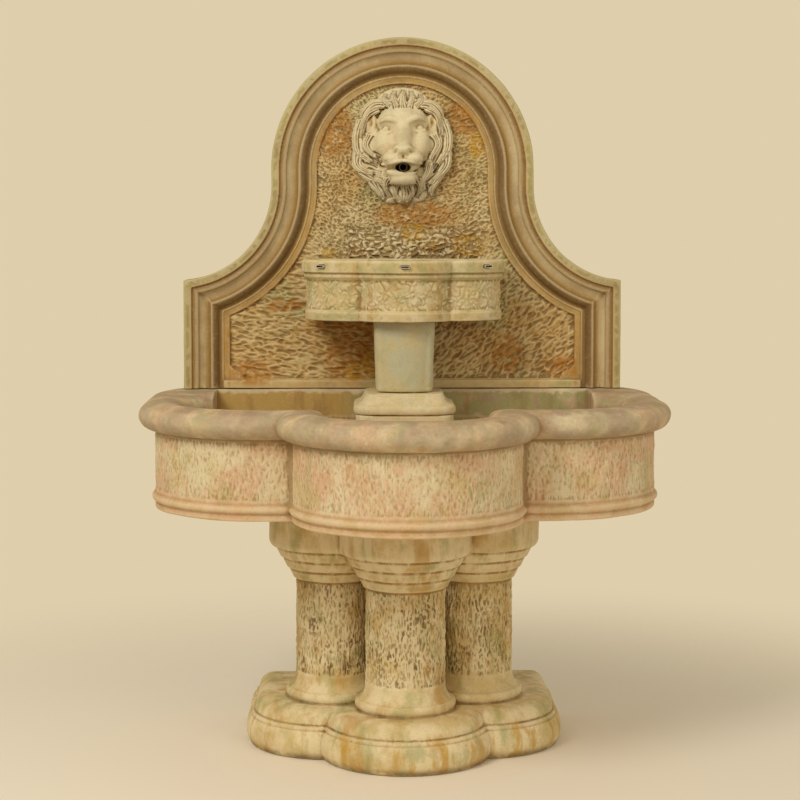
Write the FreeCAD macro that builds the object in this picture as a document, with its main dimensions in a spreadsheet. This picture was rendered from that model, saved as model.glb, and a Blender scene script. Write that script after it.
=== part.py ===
import FreeCAD, Part
import math
import os
import Sketcher
from FreeCAD import Placement, Rotation, Vector

# Garden wall fountain in cast stone: a three column pedestal, a trefoil basin, an arched back panel
# with a lion mask, and a small lobed bowl on a riser. A pump in the basin feeds the lion's mouth.
# +Z is up and +Y points at the wall. "From wall" sizes are distances from the wall plane.

SIZES = {
    # Pedestal
    "pedestal_height": 486,  # floor to underside of basin
    "plinth_height": 95,  # trefoil plinth
    "plinth_band_height": 57,  # bulging lower band
    "plinth_bulge": 9,  # bulge of the band over its foot
    "plinth_fillet_height": 4,  # each of the two fillets above the band
    "plinth_fillet_step": 4,  # set back of each fillet
    "plinth_side_out": 150,  # side lobe centre from the middle
    "plinth_side_from_wall": 195,  # side lobe centre from wall
    "plinth_side_radius": 165,  # side lobe
    "plinth_front_from_wall": 300,  # front lobe centre from wall
    "plinth_front_radius": 174,  # front lobe
    "plinth_back_gap": 14,  # plinth stands clear of the wall
    "column_side_out": 137,  # rear column from the middle
    "column_side_from_wall": 207,  # rear column from wall
    "column_front_from_wall": 311,  # front column from wall
    "shaft_radius": 79,  # column shaft
    "foot_radius": 99,  # torus at the column foot
    "foot_height": 20,  # torus at the column foot
    "foot_torus_bulge": 5,  # torus beyond its own edges
    "foot_step": 3,  # step from the torus to the hollow curve
    "foot_flare_height": 26,  # hollow curve above the torus
    "abacus_radius": 131,  # top of the capital
    "capital_height": 158,  # capital from shaft to basin
    "capital_band_height": 21.5,  # each stepped band of the capital
    "capital_step": 2.5,  # step under each band
    "abacus_round": 14,  # rounded lower edge of the abacus
    # Basin
    "basin_height": 205,  # underside to rim
    "basin_side_out": 255,  # side lobe centre from the middle
    "basin_side_from_wall": 288,  # side lobe centre from wall
    "basin_side_radius": 228,  # side lobe body
    "basin_front_from_wall": 500,  # front lobe centre from wall
    "basin_front_radius": 212,  # front lobe body
    "basin_corner_radius": 90,  # back corners in plan
    "basin_wall": 60,  # wall of the lobes
    "basin_floor": 55,  # floor
    "basin_back_wall": 70,  # back wall, which carries the panel
    "cavity_back_out": 379,  # half width of the hollow at the back wall
    "rim_height": 54,  # rolled rim
    "rim_overhang": 31,  # rim beyond the body
    "rim_roll": 22,  # small radius of the roll
    "rim_quirk": 3,  # step under the rim
    "lip_height": 12,  # lowest lip of the body
    "lip_round": 4,  # lower edge of the lip
    "bead_height": 16,  # bead above the lip
    "bead_bulge": 6,  # bead beyond the body
    "bead_groove": 3,  # groove between lip and bead
    # Back panel
    "panel_half_width": 447.5,  # half width
    "panel_height": 716,  # basin rim to crown
    "arch_radius": 268,  # arch
    "shoulder_radius": 192,  # hollow quarter curve of the shoulder
    "shoulder_centre_height": 414.5,  # centre of that curve above the rim
    "plate_thickness": 53,  # panel behind the mouldings
    "field_depth": 3,  # sunk field
    "frame_band": 17,  # flat outer band of the frame
    "frame_face": 72,  # outer band from wall
    "frame_scotia": 14,  # hollow inside the band
    "frame_torus": 25,  # main round of the frame
    "frame_torus_rise": 10,  # crown of the round
    "frame_torus_drop": 4,  # foot of the round, behind the outer band
    "frame_cove_rise": 3,  # foot of the inner hollow, in front of the plate
    "frame_chamfer": 2,  # outer edge of the band
    "frame_step": 6,  # step from the band into the hollow
    "frame_cove": 17,  # hollow inside the round
    "frame_bead": 8,  # small inner bead
    "frame_margin": 12,  # flat margin between bead and field
    "sill_height": 19,  # plain band along the foot of the panel
    "sill_face": 58,  # plain band from wall
    "ogee_width": 30,  # cut corner at the foot of the field
    "ogee_height": 30,  # cut corner at the foot of the field
    # Lion mask
    "mask_width": 192,  # across the mane
    "mask_height": 244,  # forelock to beard
    "mask_centre_height": 47,  # mask centre above the centre of the arch
    "mask_relief": 84,  # nose tip from the field
    "mouth_drop": 44,  # mouth under the centre of the mask
    "mouth_width": 30,  # open mouth
    "mouth_height": 17,  # open mouth
    "mouth_floor": 38,  # floor of the open mouth, from the field
    "lip_drop": 10,  # lips behind the nose tip
    "stud_out": 44,  # mask stud from the middle
    "stud_above_centre": 22,  # mask stud above the centre
    "stud_radius": 4,  # M8 stud
    "stud_gap": 0.2,  # gap round a stud in the panel
    "stud_in_mask": 28,  # stud cast into the mask
    "stud_pocket_radius": 15,  # pocket for the nut in the panel's back
    "stud_pocket_depth": 22,  # pocket for the nut in the panel's back
    "stud_tail": 11,  # stud behind the washer's face
    "washer_radius": 12,  # stud washer
    "washer_thickness": 2,  # stud washer
    "nut_flats": 13,  # M8 nut across flats
    "nut_height": 6.5,  # M8 nut
    "snug_gap": 0.03,  # parts that stay together without play
    # Riser and upper bowl
    "chamber_height": 117,  # pump chamber, basin floor to riser base
    "chamber_half_width": 96,  # pump chamber
    "chamber_half_depth": 95,  # pump chamber
    "chamber_corner": 22,  # pump chamber corners
    "chamber_wall": 18,  # pump chamber walls
    "chamber_roof": 25,  # pump chamber roof
    "port_width": 104,  # side ports of the pump chamber
    "port_height": 78,  # side ports of the pump chamber
    "hose_port_width": 42,  # rear port of the pump chamber
    "hose_port_height": 74,  # rear port of the pump chamber
    "riser_from_wall": 190,  # centre of riser, base and chamber
    "riser_base_height": 40,  # moulded base
    "riser_base_half_width": 101,  # moulded base at its foot
    "riser_base_half_depth": 101,  # moulded base at its foot
    "riser_base_top_inset": 24,  # moulded base, top edge inside the foot
    "riser_base_torus": 6,  # torus at the foot beyond the hollow
    "riser_base_edge": 1.5,  # upper edge
    "riser_height": 139,  # riser
    "riser_half_width_top": 61,  # riser under the bowl
    "riser_half_width_foot": 57,  # riser at its foot
    "riser_half_depth": 58,  # riser, middle to side of the front curve
    "riser_front_bow": 12,  # bow of the riser's front
    "riser_corner": 16,  # vertical corners of the riser
    "riser_foot_round": 9,  # rounded foot of the riser
    "bowl_height": 121,  # upper bowl
    "bowl_side_out": 98,  # side lobe centre from the middle
    "bowl_side_from_wall": 132,  # side lobe centre from wall
    "bowl_side_radius": 98,  # side lobe
    "bowl_front_from_wall": 178,  # front lobe centre from wall
    "bowl_front_radius": 102,  # front lobe
    "bowl_back_from_wall": 74,  # flat back of the bowl
    "bowl_wall": 17,  # wall
    "bowl_floor": 24,  # floor
    "bowl_rim_height": 26,  # rim band
    "bowl_rim_round": 6,  # upper edge of the rim
    "bowl_rim_foot_round": 2,  # lower edge of the rim
    "bowl_inner_round": 5,  # inner edge of the rim
    "bowl_rim_overhang": 8,  # rim beyond the body
    "bowl_fillet_height": 12,  # round fillet under the rim
    "bowl_fillet_bulge": 4,  # fillet beyond the body
    "bowl_foot_height": 18,  # plain band at the foot
    "bowl_foot_out": 2,  # plain band beyond the body
    "bowl_foot_round": 3,  # lower edge of the foot
    "spout_width": 19,  # flattened spout tube
    "spout_height": 6.2,  # flattened spout tube
    "spout_wall": 1.2,  # spout tube wall
    "spout_stand_out": 5,  # spout in front of the rim
    "spout_drop": 13,  # spout axis under the rim's top
    "spout_angle": 38,  # side spouts turned outward
    "spout_gap": 0.2,  # mortar gap round a spout
    # Water feed
    "hose_radius": 8,  # feed hose outside
    "hose_bore": 6.3,  # feed hose bore radius
    "hose_from_wall": 26,  # hose axis behind the panel
    "hose_bend": 90,  # bend from the pump up the back
    "channel_width": 28,  # channel for the hose in basin wall and panel
    "channel_depth": 40,  # channel in the panel's back
    "channel_over_elbow": 6,  # channel above the elbow
    "channel_wall": 12,  # basin wall left behind the channel
    "channel_drop": 105,  # channel in the basin wall, below the rim
    "pipe_radius": 7.95,  # copper mouth pipe, 15.9 mm tube
    "pipe_bore": 6.9,  # copper mouth pipe bore radius
    "pipe_gap": 0.2,  # gap round the mouth pipe
    "pipe_recess": 7,  # pipe end behind the lips
    "elbow_radius": 10.5,  # elbow body
    "elbow_back": 15,  # elbow body from wall
    "elbow_drop": 16,  # elbow body under the pipe's axis
    "elbow_socket": 8.5,  # pipe in the elbow
    "elbow_set_back": 0.5,  # elbow's face behind the channel's end
    "elbow_stem_step": 1.5,  # stem inside the body
    "elbow_end_wall": 4,  # blind end of the elbow
    "elbow_barb_length": 24,  # elbow barb
    "barb_radius": 6.2,  # barbs inside the hose
    "barb_bore": 4.2,  # bore radius of barbs and elbow
    "clamp_width": 9,  # hose clamp
    "clamp_band": 1.2,  # hose clamp band
    "clamp_screw_rise": 4,  # screw housing on the clamp band
    "clamp_inset": 5,  # clamp from the hose's end
    "clip_width": 12,  # hose clip
    "clip_band": 2,  # hose clip band
    "clip_spacing": 120,  # hose clips up the panel
    "clip_first_height": 90,  # lowest clip above the rim
    # Pump
    "pump_axis_height": 38,  # rotor axis above the basin floor
    "pump_foot_radius": 9,  # suction feet
    "pump_foot_inset": 1.5,  # suction feet inside the motor's edge
    "motor_length": 60,  # motor block
    "motor_width": 54,  # motor block
    "motor_round": 7,  # motor block edges
    "rotor_radius": 10.5,  # magnet rotor
    "rotor_length": 36,  # magnet rotor
    "rotor_gap": 0.6,  # water gap round the rotor
    "blade_disc_radius": 17,  # impeller disc
    "blade_height": 7,  # impeller blades
    "blade_count": 6,  # impeller blades
    "blade_thickness": 1.4,  # impeller blades
    "impeller_disc": 2,  # impeller disc
    "hub_radius": 5,  # impeller hub
    "end_play": 1,  # impeller end play
    "shaft_radius_pump": 1.5,  # ceramic shaft
    "bush_radius": 3.5,  # shaft bushes
    "bush_length": 5,  # rear shaft bush
    "shaft_gap": 0.05,  # running gap on the shaft
    "volute_radius": 24,  # volute outside
    "volute_bore": 19,  # volute chamber
    "volute_length": 18,  # volute
    "volute_wall": 3,  # volute cover
    "inlet_radius": 8,  # volute inlet
    "outlet_rise": 13,  # outlet axis above the rotor axis
    "outlet_radius": 9,  # outlet stub
    "outlet_bore": 5,  # outlet bore radius
    "outlet_reach": 34,  # outlet stub end from the rotor axis
    "adapter_spigot_radius": 6.95,  # adapter in the outlet stub
    "adapter_spigot": 12,  # adapter in the outlet stub
    "adapter_flats": 20,  # adapter across flats
    "adapter_hex": 4,  # adapter hexagon
    "barb_length": 22,  # adapter barb
    "cover_length": 42,  # intake cover
    "cover_wall": 2,  # intake cover wall
    "cover_slot": 2.4,  # intake slots
    "cover_slot_height": 10,  # intake slots in the cover's end
    "cover_slot_pitch": 6,  # intake slots
    "dial_radius": 11,  # flow dial
    "dial_thickness": 4,  # flow dial
    "dial_head_thickness": 1.5,  # head of the dial's stem inside the cover
    "dial_pointer_width": 2.5,  # pointer of the dial
    "dial_pointer_length": 4,  # pointer of the dial
    "dial_stem_radius": 3,  # flow dial stem
    "dial_head_radius": 4.5,  # snap head of the dial's stem
    "dial_window_low": 4,  # window in dial and cover, from the axis
    "dial_window_height": 5,  # window in dial and cover
    "dial_window_width": 12,  # window in dial and cover
    "gland_radius": 6.5,  # cord gland
    "gland_bore": 2.5,  # cord gland
    "gland_length": 8,  # cord gland
    # Drain
    "drain_out": 300,  # drain from the middle
    "drain_from_wall": 290,  # drain from wall
    "drain_thread_radius": 13.2,  # three quarter inch pipe thread
    "drain_bore": 9.5,  # drain bore radius
    "drain_flange_radius": 27,  # flange on the basin floor
    "drain_flange_height": 4,  # flange on the basin floor
    "drain_thread_length": 14,  # thread below the basin
    "drain_tail_radius": 12.4,  # smooth tail for a 25 mm hose
    "drain_tail_length": 12,  # smooth tail below the thread
    "drain_gap": 0.3,  # gap in the floor hole
    "drain_seal_height": 3,  # rubber seal under the basin
    "drain_seal_width": 8,  # rubber seal beyond the thread
    "drain_nut_height": 10,  # lock nut
    "drain_nut_flats": 36,  # lock nut across flats
    "stopper_depth": 18,  # stopper in the bore
    "stopper_gap": 0.1,  # stopper in the bore
    "stopper_cap_radius": 15,  # stopper cap
    "stopper_cap_height": 5,  # stopper cap
    "stopper_ring_radius": 9,  # pull ring
    "stopper_ring_wire": 1.5,  # pull ring
    # Fixings
    "dowel_radius": 6,  # panel dowels
    "dowel_depth": 35,  # dowel in basin and in panel
    "dowel_out": 300,  # dowel from the middle
    "dowel_gap": 0.2,  # gap round a dowel
    "hanger_out": 150,  # hanger plate from the middle
    "hanger_above_rim": 540,  # keyhole above the rim
    "hanger_width": 44,  # hanger plate
    "hanger_height": 96,  # hanger plate
    "hanger_thickness": 3,  # hanger plate
    "hanger_seat_gap": 0.5,  # gap round the plate in its seat
    "keyhole_radius": 7,  # round part of the keyhole
    "keyhole_slot": 7,  # slot of the keyhole
    "keyhole_rise": 16,  # slot above the round part
    "hanger_pocket_depth": 18,  # pocket for the wall screw's head
    "hanger_pocket_side": 5,  # plate beyond the pocket, each side
    "hanger_pocket_end": 10,  # screw beyond the pocket, each end
    "hanger_screw_spacing": 76,  # screws of a hanger plate
    "hanger_screw_radius": 2.5,  # screws of a hanger plate
    "hanger_screw_length": 26,  # screws of a hanger plate
    "screw_bore_gap": 0.05,  # gap round a screw in the casting
    "screw_hole_gap": 0.1,  # gap round a screw in its plate
    "screw_sink_land": 0.5,  # plate left in front of a screw's head
}


class Size:
    """A length worked out from the sheet: its number now, and the formula that gives it."""

    def __init__(self, number, formula):
        self.number = float(number)
        self.formula = formula

    def combine(self, other, sign, number, swapped=False):
        text = other.formula if isinstance(other, Size) else repr(other)
        first, second = (text, self.formula) if swapped else (self.formula, text)
        return Size(number, "(" + first + sign + second + ")")

    def __add__(self, other):
        return self.combine(other, " + ", self.number + number(other))

    def __radd__(self, other):
        return self.combine(other, " + ", self.number + number(other), True)

    def __sub__(self, other):
        return self.combine(other, " - ", self.number - number(other))

    def __rsub__(self, other):
        return self.combine(other, " - ", number(other) - self.number, True)

    def __mul__(self, other):
        return self.combine(other, " * ", self.number * number(other))

    def __rmul__(self, other):
        return self.combine(other, " * ", self.number * number(other), True)

    def __truediv__(self, other):
        return self.combine(other, " / ", self.number / number(other))

    def __neg__(self):
        return Size(-self.number, "(0 - " + self.formula + ")")


def number(value):
    """The plain number of a Size or of a number."""
    return value.number if isinstance(value, Size) else float(value)


def formula(value):
    """The sheet formula of a Size or of a number."""
    return value.formula if isinstance(value, Size) else repr(float(value))


def root(value):
    """Square root of a Size."""
    return Size(math.sqrt(value.number), "sqrt(" + value.formula + ")")


def arc_radius(chord, rise):
    """Radius of the arc that rises by rise over a chord."""
    return (chord * chord / 4 + rise * rise) / (2 * rise)


document = FreeCAD.newDocument("garden_wall_fountain")
sheet = document.addObject("Spreadsheet::Sheet", "sheet")


class Dimensions:
    """The sheet's driving dimensions, each a Size under its alias."""


dim = Dimensions()
for row, (alias, value) in enumerate(SIZES.items(), 1):
    sheet.set("A%d" % row, alias.replace("_", " "))
    sheet.set("B%d" % row, str(value))
    sheet.setAlias("B%d" % row, alias)
    setattr(dim, alias, Size(value, "sheet." + alias))
document.recompute()

# The origin lies under the middle of the whole, so the wall stands half the depth behind it.
WALL = (dim.basin_front_from_wall + dim.basin_front_radius + dim.rim_overhang) / 2
RIM_TOP = dim.pedestal_height + dim.basin_height
FLOOR_TOP = dim.pedestal_height + dim.basin_floor
CHAMBER_TOP = FLOOR_TOP + dim.chamber_height
RISER_FOOT = CHAMBER_TOP + dim.riser_base_height
BOWL_FOOT = RISER_FOOT + dim.riser_height
BOWL_TOP = BOWL_FOOT + dim.bowl_height
ARCH_CENTRE = RIM_TOP + dim.panel_height - dim.arch_radius
SHOULDER_CENTRE = RIM_TOP + dim.shoulder_centre_height
MASK_CENTRE = ARCH_CENTRE + dim.mask_centre_height
MOUTH_HEIGHT = MASK_CENTRE - dim.mouth_drop
FIELD_FACE = dim.plate_thickness - dim.field_depth
PUMP_AXIS = FLOOR_TOP + dim.pump_axis_height
OUTLET_HEIGHT = PUMP_AXIS + dim.outlet_rise
HOSE_START = dim.riser_from_wall - dim.outlet_reach - dim.adapter_hex - 2
FRAME_WIDTH = (
    dim.frame_band + dim.frame_scotia + dim.frame_torus
    + dim.frame_cove + dim.frame_bead + dim.frame_margin
)
MARGIN_START = FRAME_WIDTH - dim.frame_margin

nodes = {}


def from_wall(distance):
    """The Y place that lies a distance in front of the wall."""
    return WALL - distance


def bind(item, path, value):
    """Tie one property of an object to the sheet."""
    if isinstance(value, Size):
        item.setExpression(path, value.formula)
    else:
        item.setExpression(path, repr(float(value)))


def place(item, x, y, z, rotation=None):
    """Place an object by sheet formulas, turned by a fixed rotation."""
    turn = rotation or Rotation()
    item.Placement = Placement(Vector(number(x), number(y), number(z)), turn)
    bind(item, "Placement.Base.x", x)
    bind(item, "Placement.Base.y", y)
    bind(item, "Placement.Base.z", z)
    return item


ALONG_X = Rotation(Vector(0, 1, 0), 90)
ALONG_WALL_NORMAL = Rotation(Vector(1, 0, 0), -90)
STANDING = Rotation(Vector(1, 0, 0), 90)
PLANE_TURNS = {"XY_Plane": Rotation(), "XZ_Plane": STANDING, "YZ_Plane": Rotation(Vector(1, 1, 1), 120)}


def box(name, length, width, height, x, y, z):
    """A block whose middle in X and Y is at x, y and whose foot is at z."""
    item = document.addObject("Part::Box", name)
    bind(item, "Length", length)
    bind(item, "Width", width)
    bind(item, "Height", height)
    return place(item, x - length / 2, y - width / 2, z)


def cylinder(name, radius, length, x, y, z, turn=None):
    """A cylinder that starts at x, y, z and runs along Z, or along the axis of its turn."""
    item = document.addObject("Part::Cylinder", name)
    bind(item, "Radius", radius)
    bind(item, "Height", length)
    return place(item, x, y, z, turn)


def cone(name, radius_foot, radius_top, length, x, y, z, turn=None):
    """A cone frustum that starts at x, y, z."""
    item = document.addObject("Part::Cone", name)
    bind(item, "Radius1", radius_foot)
    bind(item, "Radius2", radius_top)
    bind(item, "Height", length)
    return place(item, x, y, z, turn)


def hexagon(name, flats, height, x, y, z, turn=None):
    """A hexagonal bar by its width across flats."""
    item = document.addObject("Part::Prism", name)
    item.Polygon = 6
    bind(item, "Circumradius", flats / math.sqrt(3))
    bind(item, "Height", height)
    return place(item, x, y, z, turn)


def cut(name, base, tools):
    """A base less one or more tools."""
    tool = tools[0] if len(tools) == 1 else fuse(name + "_tools", tools)
    item = document.addObject("Part::Cut", name)
    item.Base = base
    item.Tool = tool
    return item


def fuse(name, pieces):
    """Several shapes as one solid."""
    item = document.addObject("Part::MultiFuse", name)
    item.Shapes = pieces
    item.Refine = True
    return item


def group(name, pieces):
    """Several separate solids kept as one node."""
    item = document.addObject("Part::Compound", name)
    item.Links = pieces
    return item


def node(name, item):
    """Register a finished sub-part under the name of its file."""
    item.Label = name
    nodes[name] = item
    return item


def arc_between(start, end, radius, turn):
    """The circle arc from start to end as the sketcher keeps it, and whether it runs backwards."""
    chord = end - start
    half = chord.Length / 2
    lift = math.sqrt(max(radius * radius - half * half, 0.0))
    normal = Vector(-chord.y, chord.x, 0).normalize()
    side = 1 if turn == "left" else -1
    centre = (start + end) * 0.5 + normal * (side * lift)
    first, last = (start, end) if turn == "left" else (end, start)
    from_angle = math.atan2(first.y - centre.y, first.x - centre.x)
    to_angle = math.atan2(last.y - centre.y, last.x - centre.x)
    if to_angle <= from_angle:
        to_angle += 2 * math.pi
    circle = Part.Circle(centre, Vector(0, 0, 1), radius)
    return Part.ArcOfCircle(circle, from_angle, to_angle), turn != "left"


def draw(sketch, points):
    """Draw a closed outline. A point is (x, y), or (x, y, radius, turn) after an arc that turns
    left or right. Every corner and every radius is tied to the sheet."""
    flat = [Vector(number(point[0]), number(point[1]), 0) for point in points]
    ends = []
    for index, point in enumerate(points):
        start = flat[index - 1]
        end = flat[index]
        if len(point) == 4:
            geometry, backwards = arc_between(start, end, number(point[2]), point[3])
        else:
            geometry, backwards = Part.LineSegment(start, end), False
        edge = sketch.addGeometry(geometry)
        ends.append((edge, 2, 1) if backwards else (edge, 1, 2))
    for index, point in enumerate(points):
        edge, first, last = ends[index]
        following = ends[(index + 1) % len(ends)]
        sketch.addConstraint(Sketcher.Constraint("Coincident", edge, last, following[0], following[1]))
        for kind, value in (("DistanceX", point[0]), ("DistanceY", point[1])):
            constraint = Sketcher.Constraint(kind, -1, 1, edge, last, number(value))
            place_of = sketch.addConstraint(constraint)
            sketch.setExpression("Constraints[%d]" % place_of, formula(value))
        if len(point) == 4:
            place_of = sketch.addConstraint(Sketcher.Constraint("Radius", edge, number(point[2])))
            sketch.setExpression("Constraints[%d]" % place_of, formula(point[2]))
    return sketch


def body_sketch(body, name, role, x, y, z, points):
    """A sketch on one of a body's origin planes, moved to x, y, z."""
    sketch = body.newObject("Sketcher::SketchObject", name)
    plane = [item for item in body.Origin.OriginFeatures if item.Role == role][0]
    sketch.AttachmentSupport = [(plane, "")]
    sketch.MapMode = "FlatFace"
    across, up, out = {
        "XY_Plane": (x, y, z),
        "XZ_Plane": (x, z, -1 * y),
        "YZ_Plane": (y, z, x),
    }[role]
    sketch.AttachmentOffset = Placement(Vector(number(across), number(up), number(out)), Rotation())
    bind(sketch, "AttachmentOffset.Base.x", across)
    bind(sketch, "AttachmentOffset.Base.y", up)
    bind(sketch, "AttachmentOffset.Base.z", out)
    return draw(sketch, points)


def free_sketch(name, role, x, y, z, points):
    """A sketch of its own, on a plane parallel to an origin plane."""
    sketch = document.addObject("Sketcher::SketchObject", name)
    place(sketch, x, y, z, PLANE_TURNS[role])
    return draw(sketch, points)


def feature(body, kind, name, sketch):
    """A PartDesign feature made from a sketch."""
    item = body.newObject("PartDesign::" + kind, name)
    item.Profile = sketch
    item.Refine = False
    return item


def revolve(body, kind, name, x, y, points):
    """A Revolution or a Groove of an (r, z) outline about the vertical axis at x, y."""
    sketch = body_sketch(body, name + "_sketch", "XZ_Plane", x, y, Size(0, "0"), points)
    item = feature(body, kind, name, sketch)
    item.ReferenceAxis = (sketch, ["V_Axis"])
    item.Angle = 360
    return item


def extrude(body, kind, name, sketch, length, backwards=False):
    """A Pad or a Pocket of a sketch."""
    item = feature(body, kind, name, sketch)
    bind(item, "Length", length)
    item.Reversed = backwards
    return item


def rectangle(x_low, x_high, y_low, y_high):
    """A plain rectangle as an outline."""
    return [(x_low, y_low), (x_high, y_low), (x_high, y_high), (x_low, y_high)]


def closed_on_axis(profile):
    """An (r, z) profile that runs upward, closed along its axis."""
    zero = Size(0, "0")
    return [(zero, profile[0][1])] + profile + [(zero, profile[-1][1])]


def both_sides(profile, out):
    """An (r, z) profile as the two sides of a full width outline that reaches out from the middle."""
    right = [(out + point[0],) + tuple(point[1:]) for point in profile]
    left = [(-1 * (out + profile[-1][0]), profile[-1][1])]
    for index in range(len(profile) - 2, -1, -1):
        bend = tuple(profile[index + 1][2:])
        left.append((-1 * (out + profile[index][0]), profile[index][1]) + bend)
    return right + left


def new_body(name):
    """A PartDesign body for one casting."""
    return document.addObject("PartDesign::Body", name)


ZERO = Size(0, "0")
SIDES = (("left", -1), ("right", 1))
SPARE = 20
CAPITAL_STEPS = 3
# The radius of a quarter round over its corner, a hair more than one.
QUARTER = 1.005
# The radius of each hollow or swelling over its height or width.
FLARE_ROUND = 1.25
ABACUS_ROUND = 1.3
SCOTIA_ROUND = 0.9
COVE_ROUND = 1.1
OGEE_ROUND = 0.75
# The rise of the frame's small bead over its width.
BEAD_RISE = 0.45


def plinth_profile(radius):
    """Trefoil plinth: bulging band, two fillets and a quarter round up to the top."""
    foot = radius - dim.plinth_bulge
    band = dim.plinth_band_height
    first = band + dim.plinth_fillet_height
    second = first + dim.plinth_fillet_height
    step = dim.plinth_fillet_step
    rise = dim.plinth_height - second
    return [
        (foot, ZERO),
        (foot, band, arc_radius(band, dim.plinth_bulge), "left"),
        (foot - step / 2, band),
        (foot - step / 2, first),
        (foot - step, first),
        (foot - step, second),
        (foot - 2 * step, second),
        (foot - 2 * step - rise, dim.plinth_height, rise * QUARTER, "left"),
    ]


def column_profile():
    """One column from the plinth up: torus foot, hollow flare, shaft, stepped capital and abacus."""
    torus_in = dim.foot_radius - dim.foot_torus_bulge
    foot_top = dim.plinth_height + dim.foot_height
    shaft_start = foot_top + dim.foot_flare_height
    capital = dim.pedestal_height - dim.capital_height
    flare = (dim.abacus_radius - dim.shaft_radius) / (CAPITAL_STEPS + 1)
    band = dim.capital_band_height
    points = [
        (torus_in, dim.plinth_height - 1),
        (torus_in, dim.plinth_height),
        (torus_in, foot_top, arc_radius(dim.foot_height, dim.foot_torus_bulge), "left"),
        (torus_in - dim.foot_step, foot_top),
        (dim.shaft_radius, shaft_start, dim.foot_flare_height * FLARE_ROUND, "right"),
        (dim.shaft_radius, capital),
    ]
    for index in range(CAPITAL_STEPS):
        lower = capital + band * index
        points.append((dim.shaft_radius + flare * index + dim.capital_step, lower))
        points.append((dim.shaft_radius + flare * (index + 1), lower + band))
    abacus = capital + band * CAPITAL_STEPS
    return points + [
        (dim.shaft_radius + flare * CAPITAL_STEPS + dim.capital_step, abacus),
        (dim.abacus_radius, abacus + dim.abacus_round, dim.abacus_round * ABACUS_ROUND, "left"),
        (dim.abacus_radius, dim.pedestal_height),
    ]


def make_pedestal():
    """One casting: a trefoil plinth and three columns whose capitals and feet run together."""
    body = new_body("pedestal_body")
    side_y = from_wall(dim.plinth_side_from_wall)
    reach = dim.plinth_side_out + dim.plinth_side_radius
    for side, sign in SIDES:
        profile = closed_on_axis(plinth_profile(dim.plinth_side_radius))
        revolve(body, "Revolution", "plinth_" + side, sign * dim.plinth_side_out, side_y, profile)
    profile = closed_on_axis(plinth_profile(dim.plinth_front_radius))
    revolve(body, "Revolution", "plinth_front", ZERO, from_wall(dim.plinth_front_from_wall), profile)
    sketch = body_sketch(
        body, "plinth_back_sketch", "XZ_Plane", ZERO, side_y, ZERO,
        both_sides(plinth_profile(ZERO), reach),
    )
    extrude(body, "Pad", "plinth_back", sketch, dim.plinth_side_from_wall - dim.plinth_back_gap, True)
    column = closed_on_axis(column_profile())
    for side, sign in SIDES:
        y = from_wall(dim.column_side_from_wall)
        revolve(body, "Revolution", "column_" + side, sign * dim.column_side_out, y, column)
    revolve(body, "Revolution", "column_front", ZERO, from_wall(dim.column_front_from_wall), column)
    return node("pedestal", body)


ROLL_TURN = math.radians(60)
ROLL_IN = 1 - math.cos(ROLL_TURN)
ROLL_UP = math.sin(ROLL_TURN)
RIM_MIDDLE = RIM_TOP - dim.rim_height / 2
RIM_HALF_WIDTH = (dim.rim_overhang + dim.basin_wall) / 2
CROWN_ACROSS = RIM_HALF_WIDTH - dim.rim_roll * ROLL_IN
CROWN_UP = dim.rim_height / 2 - dim.rim_roll * ROLL_UP
CROWN_RADIUS = (CROWN_ACROSS * CROWN_ACROSS + CROWN_UP * CROWN_UP) / (2 * CROWN_UP)


def basin_profile(radius):
    """Outside of the basin: lip, groove, bead, plain body and the outer half of the rolled rim."""
    lip_top = dim.pedestal_height + dim.lip_height
    bead = lip_top + dim.bead_groove
    bead_top = bead + dim.bead_height
    under = dim.rim_overhang - dim.rim_quirk
    half = dim.rim_height / 2
    widest = radius + dim.rim_overhang
    return [
        (radius - dim.lip_round, dim.pedestal_height),
        (radius, dim.pedestal_height + dim.lip_round, dim.lip_round * QUARTER, "left"),
        (radius, lip_top),
        (radius - dim.bead_groove, lip_top + dim.bead_groove / 2),
        (radius, bead),
        (radius, bead_top, arc_radius(dim.bead_height, dim.bead_bulge), "left"),
        (radius, RIM_TOP - dim.rim_height),
        (radius + dim.rim_quirk, RIM_TOP - dim.rim_height),
        (widest, RIM_MIDDLE, (under * under + half * half) / (2 * under), "left"),
        (widest - dim.rim_roll * ROLL_IN, RIM_MIDDLE + dim.rim_roll * ROLL_UP, dim.rim_roll, "left"),
        (widest - RIM_HALF_WIDTH, RIM_TOP, CROWN_RADIUS, "left"),
    ]


def cavity_profile(radius):
    """Inside of the basin: straight wall and the inner half of the rolled rim."""
    crown = radius + RIM_HALF_WIDTH
    return [
        (radius, FLOOR_TOP),
        (radius, RIM_MIDDLE),
        (radius + dim.rim_roll * ROLL_IN, RIM_MIDDLE + dim.rim_roll * ROLL_UP, dim.rim_roll, "right"),
        (crown, RIM_TOP, CROWN_RADIUS, "right"),
        (crown, RIM_TOP + SPARE),
    ]


def upright_hole(body, name, x, y, low, high, radius):
    """A round hole down from high to low, as a groove."""
    outline = [(ZERO, low), (radius, low), (radius, high), (ZERO, high)]
    return revolve(body, "Groove", name, x, y, outline)


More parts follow.
